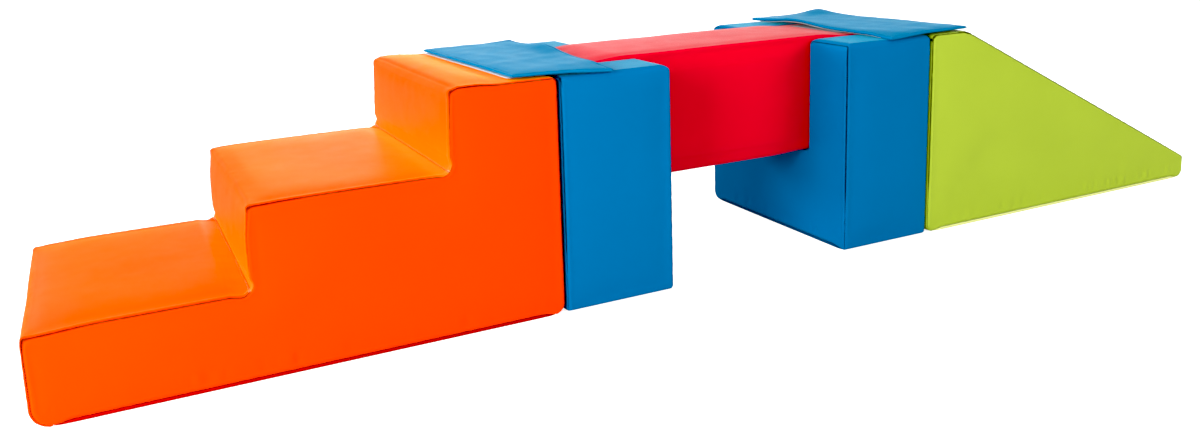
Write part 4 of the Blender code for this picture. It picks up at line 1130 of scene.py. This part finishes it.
class Flap:
    """A mat between four sides that are nearly straight: where its edges lie and how it waves.

    Each side is given by its place at both ends; a wave is its centre, its reach in X and Y and its height.
    """

    def __init__(self, name, side, outer_x, inner_x, front_y, back_y, bulge, bulge_place, waves, droop):
        self.name, self.side, self.fold_x = name, side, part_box(name + "_outer_leaf")[side < 0].x
        self.outer_x, self.inner_x, self.front_y, self.back_y = outer_x, inner_x, front_y, back_y
        self.bulge, self.bulge_place, self.waves, self.droop = bulge, bulge_place, waves, droop
        self.width, self.length = abs(outer_x[0] - inner_x[0]), abs(back_y[0] - front_y[0])
        low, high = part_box(name + "_inner_leaf")
        self.level, self.thick = (low.z + high.z) / 2, high.z - low.z

    def ground(self, u, v):
        """X and Y at u across, from the outer edge to the inner one, and v from front to back."""
        outer, inner, front, back = (ends[0] + (ends[1] - ends[0]) * share for ends, share in (
            (self.outer_x, v), (self.inner_x, v), (self.front_y, u), (self.back_y, u)))
        inner = inner + self.bulge * np.exp(-((v - self.bulge_place) / BULGE_REACH) ** 2)
        return outer + (inner - outer) * u, front + (back - front) * v

    def lift(self, x, y):
        """How far the mat stands off its flat lie at a place."""
        rise = np.zeros_like(x)
        for centre_x, centre_y, reach_x, reach_y, height in self.waves:
            rise += height * np.exp(-((x - centre_x) / reach_x) ** 2 - ((y - centre_y) / reach_y) ** 2)
        toward_middle = between(-self.side * x, -abs(self.fold_x), -abs(self.inner_x[0]))
        return rise - self.droop * between(-y, DROOP_START, DROOP_END) * toward_middle

    def steps(self, length):
        open_length = length - 2 * FLAP_CLOSE[-1]
        count = max(1, round(open_length / FLAP_STEP))
        field = [FLAP_CLOSE[-1] + open_length * index / count for index in range(1, count)]
        return np.array([*FLAP_CLOSE, *field, *(length - step for step in reversed(FLAP_CLOSE))]) / length

    def make(self):
        """The mat as one closed mesh: two grids that share their border."""
        u, v = np.meshgrid(self.steps(self.width), self.steps(self.length), indexing="ij")
        x, y = self.ground(u, v)
        from_side, from_end = np.minimum(u, 1 - u) * self.width, np.minimum(v, 1 - v) * self.length
        edge = np.minimum(from_side, from_end)
        corner_gap = np.hypot(np.maximum(FLAP_EDGE_ROUND - from_side, 0),
                              np.maximum(FLAP_EDGE_ROUND - from_end, 0))
        share = np.clip(1 - corner_gap / FLAP_EDGE_ROUND, 0, 1)
        half = self.thick / 2 * np.sqrt(1 - (1 - share) ** 2)
        crease = FLAP_CREASE_DEPTH * np.exp(-((edge - FLAP_TOPSTITCH) / FLAP_CREASE_WIDTH) ** 2)
        flat = np.stack((x.ravel(), y.ravel()), 1)
        pucker = smooth_noise(flat, *FLAP_PUCKERS).reshape(x.shape)
        hem = FLAP_HEM_THIN * (1 - between(edge, FLAP_TOPSTITCH, FLAP_HEM_WIDTH))
        half = half - crease * (1 + FLAP_PUCKER * pucker) - hem
        border = edge <= 0
        half = np.where(border, 0.0, half)
        wander = FLAP_WANDER * smooth_noise(flat, *FLAP_WAVES).reshape(x.shape)
        middle = self.level + self.lift(x, y)
        tops = np.stack((x, y, middle + half + np.maximum(wander, -FLAP_WANDER)), -1)
        bottoms = np.stack((x, y, middle - np.minimum(half, self.thick / 2)), -1)
        top = np.arange(x.size).reshape(x.shape)
        bottom = np.where(border, top, top + x.size)
        faces = shell_faces(x.shape, lambda i, j: top[i, j], lambda i, j: bottom[i, j])
        used, faces = np.unique(faces if self.side < 0 else [face[::-1] for face in faces], return_inverse=True)
        points = np.concatenate((tops.reshape(-1, 3), bottoms.reshape(-1, 3)))[used]
        self.piece = skin(self.name, points, faces.reshape(-1, 4).tolist(), flap_vinyl)
        note_on(self.piece, "seam_distance", np.full(len(points), FAR))

    def slant(self, tape_edge, inset):
        """How far a tape's edge must move, at Y 0 and per metre of Y, to lie inside the mat's outer edge."""
        per_metre = (self.outer_x[1] - self.outer_x[0]) / (self.back_y[0] - self.front_y[0])
        at_middle = self.outer_x[0] - per_metre * self.front_y[0]
        return at_middle - self.side * inset - tape_edge, per_metre

    def bend(self, piece):
        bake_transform(piece)


flaps = (
    Flap("left_flap", -1, (-0.538, -0.553), (-0.341, -0.346), (-0.231, -0.250), (0.226, 0.234), 0.014, 0.64,
         [(-0.334, 0.06, 0.030, 0.080, 0.0085), (-0.350, 0.235, 0.03, 0.035, 0.0030),
          (-0.50, -0.05, 0.05, 0.12, 0.0012)], 0.0050),
    Flap("right_flap", 1, (0.565, 0.541), (0.330, 0.321), (-0.236, -0.250), (0.235, 0.232), 0.012, 0.70,
         [(0.334, 0.08, 0.030, 0.085, 0.009), (0.541, 0.235, 0.055, 0.07, 0.0085)], 0.0055),
)
for flap in flaps:
    flap.make()
    flap.bend(flap.piece)
    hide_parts(flap.name + "_outer_leaf", flap.name + "_inner_leaf")
    u, v = FLAP_TOPSTITCH / flap.width, FLAP_TOPSTITCH / flap.length
    rim = []
    for place in walk([(u, v), (1 - u, v), (1 - u, 1 - v), (u, 1 - v)], RIM_STEPS):
        x, y = flap.ground(*np.array(place))
        top = float(flap.level + flap.lift(x, y)) + flap.thick / 2
        rim.append((float(x), float(y), top - FLAP_HEM_THIN - FLAP_CREASE_DEPTH))
    stitches = stitch(flap.name + "_topstitch", [(rim, True)], flap_thread, *FLAP_STITCH)
    flap.bend(stitches)

# Hook and loop tapes: woven nylon strips sewn on along both edges, hooks under the flaps and loops on top of
# the covers, so that the flaps grip and can be peeled off.
TAPE_EDGE, HOOK_INSET, LOOP_INSET, NO_SLANT = 0.003, -0.0020, 0.004, (0.0, 0.0)
TAPE_ACROSS, TAPE_ALONG, TAPE_STEP = (0, 0.0006, 0.002), (0, 0.0006), 0.01
TAPE_FIELD_ACROSS, TAPE_FIELD_ALONG, TAPE_COLUMNS = 0.008, 0.004, 6
TAPE_ROUND, TAPE_ROUND_REACH, TAPE_STITCH = 0.25, 0.0008, (0.004, 0.003, 0.0007, 0.0007)


def tape_material(name, colour, pile_size, pile_depth):
    """Woven nylon tape: a dense pile of hooks or loops over a plain ground."""
    return textured(name, "ShaderNodeTexVoronoi", "Distance", {"Scale": 1 / pile_size, "Randomness": 0.7},
                    (tint(colour, 1.15), tint(colour, 0.6)), 0.8, pile_depth, 0.75, invert=True)


def stops(length, close, field_start, count):
    field = np.linspace(field_start, length - field_start, count)
    return np.array([*close, *field, *(length - step for step in reversed(close))])


def lay_tape(name, low, high, level, material, body, node, slant=NO_SLANT, thick=None):
    """A strip between two corners whose upper face follows level(x, y), moved in X by a slant along Y."""
    thick = thick or high.z - low.z
    across = stops(high.x - low.x, TAPE_ACROSS, TAPE_FIELD_ACROSS, TAPE_COLUMNS) + low.x
    count = max(4, round((high.y - low.y) / TAPE_STEP))
    along = stops(high.y - low.y, TAPE_ALONG, TAPE_FIELD_ALONG, count) + low.y
    x, y = np.meshgrid(across, along, indexing="ij")
    edge = np.minimum(np.minimum(x - low.x, high.x - x), np.minimum(y - low.y, high.y - y))
    x = x + slant[0] + slant[1] * y
    ease_down = TAPE_ROUND * thick * (1 - between(edge, 0, TAPE_ROUND_REACH))
    top = level(x, y)
    points = np.concatenate((np.stack((x, y, top - ease_down), -1).reshape(-1, 3),
                             np.stack((x, y, top - thick + ease_down), -1).reshape(-1, 3)))
    rows, total = len(along), x.size
    faces = shell_faces(x.shape, lambda i, j: i * rows + j, lambda i, j: i * rows + j + total)
    ring = [i * rows for i in range(len(across))] + [total - rows + j for j in range(1, rows)]
    ring += [i * rows + rows - 1 for i in range(len(across) - 2, -1, -1)] + list(range(rows - 2, 0, -1))
    faces += [[second, first, first + total, second + total]
              for first, second in zip(ring, ring[1:] + ring[:1])]
    tape = skin(name, points, faces, material)
    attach(tape, body)
    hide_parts(node)


hook_material = tape_material("hook_tape", (0.78, 0.80, 0.82), 0.0011, 0.0004)
loop_material = tape_material("loop_tape", (0.30, 0.33, 0.36), 0.0007, 0.0003)
tape_thread = thread("tape_thread", (0.55, 0.58, 0.60))
for flap in flaps:
    for half, body in (("outer", flap.name), ("inner", "beam")):
        node = flap.name + "_" + half + "_hook_tape"
        low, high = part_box(node)
        drop = flap.level - flap.thick / 2 - high.z
        slant = flap.slant(low.x if flap.side < 0 else high.x, HOOK_INSET) if half == "outer" else NO_SLANT
        lay_tape(flap.name + "_" + half + "_hooks", low, high,
                 lambda x, y: flap.level - flap.thick / 2 + flap.lift(x, y) - drop,
                 hook_material, body, node, slant)
for node, body, carrier, flap in (
    ("steps_loop_tape", "steps", "stairs_upper_wrap", flaps[0]),
    ("beam_left_loop_tape", "beam", "beam_sleeve", None),
    ("beam_right_loop_tape", "beam", "beam_sleeve", None),
    ("ramp_loop_tape", "ramp", "ramp_slope", flaps[1]),
):
    low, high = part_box(node)
    name = node.replace("steps", "stairs").replace("_tape", "s")
    slant = flap.slant(low.x if flap.side < 0 else high.x, LOOP_INSET) if flap else NO_SLANT
    lay_tape(name, low, high, lambda x, y: np.full_like(x, high.z), loop_material, body, node,
             slant)
    x0, y0, x1, y1 = low.x + TAPE_EDGE, low.y + TAPE_EDGE, high.x - TAPE_EDGE, high.y - TAPE_EDGE
    rim = [(x + slant[0] + slant[1] * y, y, high.z) for x, y in walk([(x0, y0), (x1, y0), (x1, y1), (x0, y1)])]
    stitches = stitch(name + "_stitches", [(rim, True)], tape_thread, *TAPE_STITCH)
    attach(stitches, body)

# Zips: the way in to each foam, in the middle of the cover's underside. Two woven tapes meet behind a slot,
# a nylon coil joins them on the inside, and a small metal slider without a pull runs along it.
TAPE_JOIN, ZIP_TAPE_THICK = 0.0003, 0.0006
COIL_PITCH, COIL_BAR, COIL_WIDTH, COIL_HEIGHT = 0.0025, 0.0016, 0.0056, 0.0022
STEEL, SCUFFS, SCUFF_ROUGHNESS = (0.60, 0.60, 0.62), {"Scale": 600.0, "Detail": 4.0}, (0.25, 0.5)
zip_cloth = tape_material("zip_cloth", (0.05, 0.055, 0.06), 0.0009, 0.00015)
coil_nylon = thread("coil_nylon", (0.07, 0.075, 0.08))
slider_metal, tree, shader = new_material("slider_metal")
scuffs = put(tree, "ShaderNodeTexNoise", {"Vector": object_place(tree), **SCUFFS}, "Fac")
scuffed = remap(tree, scuffs, SCUFF_ROUGHNESS)
feed(tree, shader, {"Base Color": tint(STEEL), "Metallic": 1.0, "Roughness": scuffed})
for owner, foam in (("steps", "_foam_lower"), ("left_block", "_foam_base"), ("right_block", "_foam_base"),
                    ("beam", "_foam"), ("ramp", "_foam")):
    low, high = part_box(owner + "_zip")
    middle = (low + high) / 2
    along_x = high.x - low.x > high.y - low.y
    edge = 1 if along_x else 0
    for half, sign in (("_zip_tape_one", -1), ("_zip_tape_two", 1)):
        near, far = low.copy(), high.copy()
        (far if sign < 0 else near)[edge] = middle[edge] + sign * TAPE_JOIN
        lay_tape(owner + half, near, far, lambda x, y: np.full_like(x, low.z + ZIP_TAPE_THICK), zip_cloth, owner,
                 owner + "_zip", thick=ZIP_TAPE_THICK)
    level = low.z + ZIP_TAPE_THICK + COIL_HEIGHT / 2
    ends = [(end.x, middle.y, level) if along_x else (middle.x, end.y, level) for end in (low, high)]
    coil = stitch(owner + "_zip_coil", [(ends, False)], coil_nylon, COIL_PITCH, COIL_BAR, COIL_WIDTH, COIL_HEIGHT)
    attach(coil, owner)
    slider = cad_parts[owner + "_zip_slider"].data
    slider.materials.clear()
    slider.materials.append(slider_metal)

# Foam: firm white foam cut to each form. The stairs are three slabs glued on each other, a block is a slab
# with two posts glued on it, and the beam and the ramp are each one piece.
FOAM_WHITE, FOAM_CELLS = (0.80, 0.78, 0.68), {"Scale": 900.0}
FOAM_SHRINK, FOAM_CLEARANCE, CLEARING_STEPS, FOAM_TOUCH = 0.0095, 0.0045, 4, 1e-5
LEAST_FACE, SAME_FACING, FACING_DOWN, SLIVER_LIMIT, FLAT_ANGLE = 1e-10, 0.9995, -0.99, 0.15, 0.001
firm_foam = textured("firm_foam", "ShaderNodeTexVoronoi", "Distance", FOAM_CELLS,
                     (tint(FOAM_WHITE, 0.72), tint(FOAM_WHITE)), 0.6, 0.0004, 0.9)


def trim_foam(node, body, name, glued_below):
    """A copy of a CAD foam, each face moved in a little and each corner then kept clear of the sewn cover."""
    cover_shell = BVHTree.FromPolygons(covers[body].vertices.tolist(), covers[body].all_faces())
    solid = bmesh.new()
    solid.from_mesh(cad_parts[node].data)
    bmesh.ops.remove_doubles(solid, verts=solid.verts, dist=FOAM_TOUCH)
    solid.normal_update()
    moves = []
    for vertex in solid.verts:
        normals, offsets = [], []
        for face in vertex.link_faces:
            normal = np.array(face.normal)
            if face.calc_area() > LEAST_FACE and not any(normal @ other > SAME_FACING for other in normals):
                normals.append(normal)
                offsets.append(FOAM_SHRINK if glued_below and normal[2] < FACING_DOWN else -FOAM_SHRINK)
        moves.append(np.linalg.lstsq(np.array(normals), np.array(offsets), rcond=SLIVER_LIMIT)[0])
    for vertex, move in zip(solid.verts, moves):
        vertex.co += Vector(move)
        for _ in range(CLEARING_STEPS):
            nearest, normal, _, _ = cover_shell.find_nearest(vertex.co)
            depth = (nearest - vertex.co).dot(normal)
            if depth < FOAM_CLEARANCE:
                vertex.co -= normal * (FOAM_CLEARANCE - depth)
    bmesh.ops.dissolve_limit(solid, angle_limit=FLAT_ANGLE, verts=solid.verts, edges=solid.edges)
    mesh = bpy.data.meshes.new(name)
    solid.to_mesh(mesh)
    solid.free()
    mesh.materials.append(firm_foam)
    piece = add(name, mesh)
    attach(piece, body)
    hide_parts(node)


for body, parts in (
    ("steps", ("_foam_lower", "_foam_middle", "_foam_upper")),
    ("left_block", ("_foam_base", "_foam_front_post", "_foam_rear_post")),
    ("right_block", ("_foam_base", "_foam_front_post", "_foam_rear_post")),
    ("beam", ("_foam",)), ("ramp", ("_foam",)),
):
    for number, part in enumerate(parts):
        trim_foam(body + part, body, body.replace("steps", "stairs") + part + "_core", glued_below=number > 0)
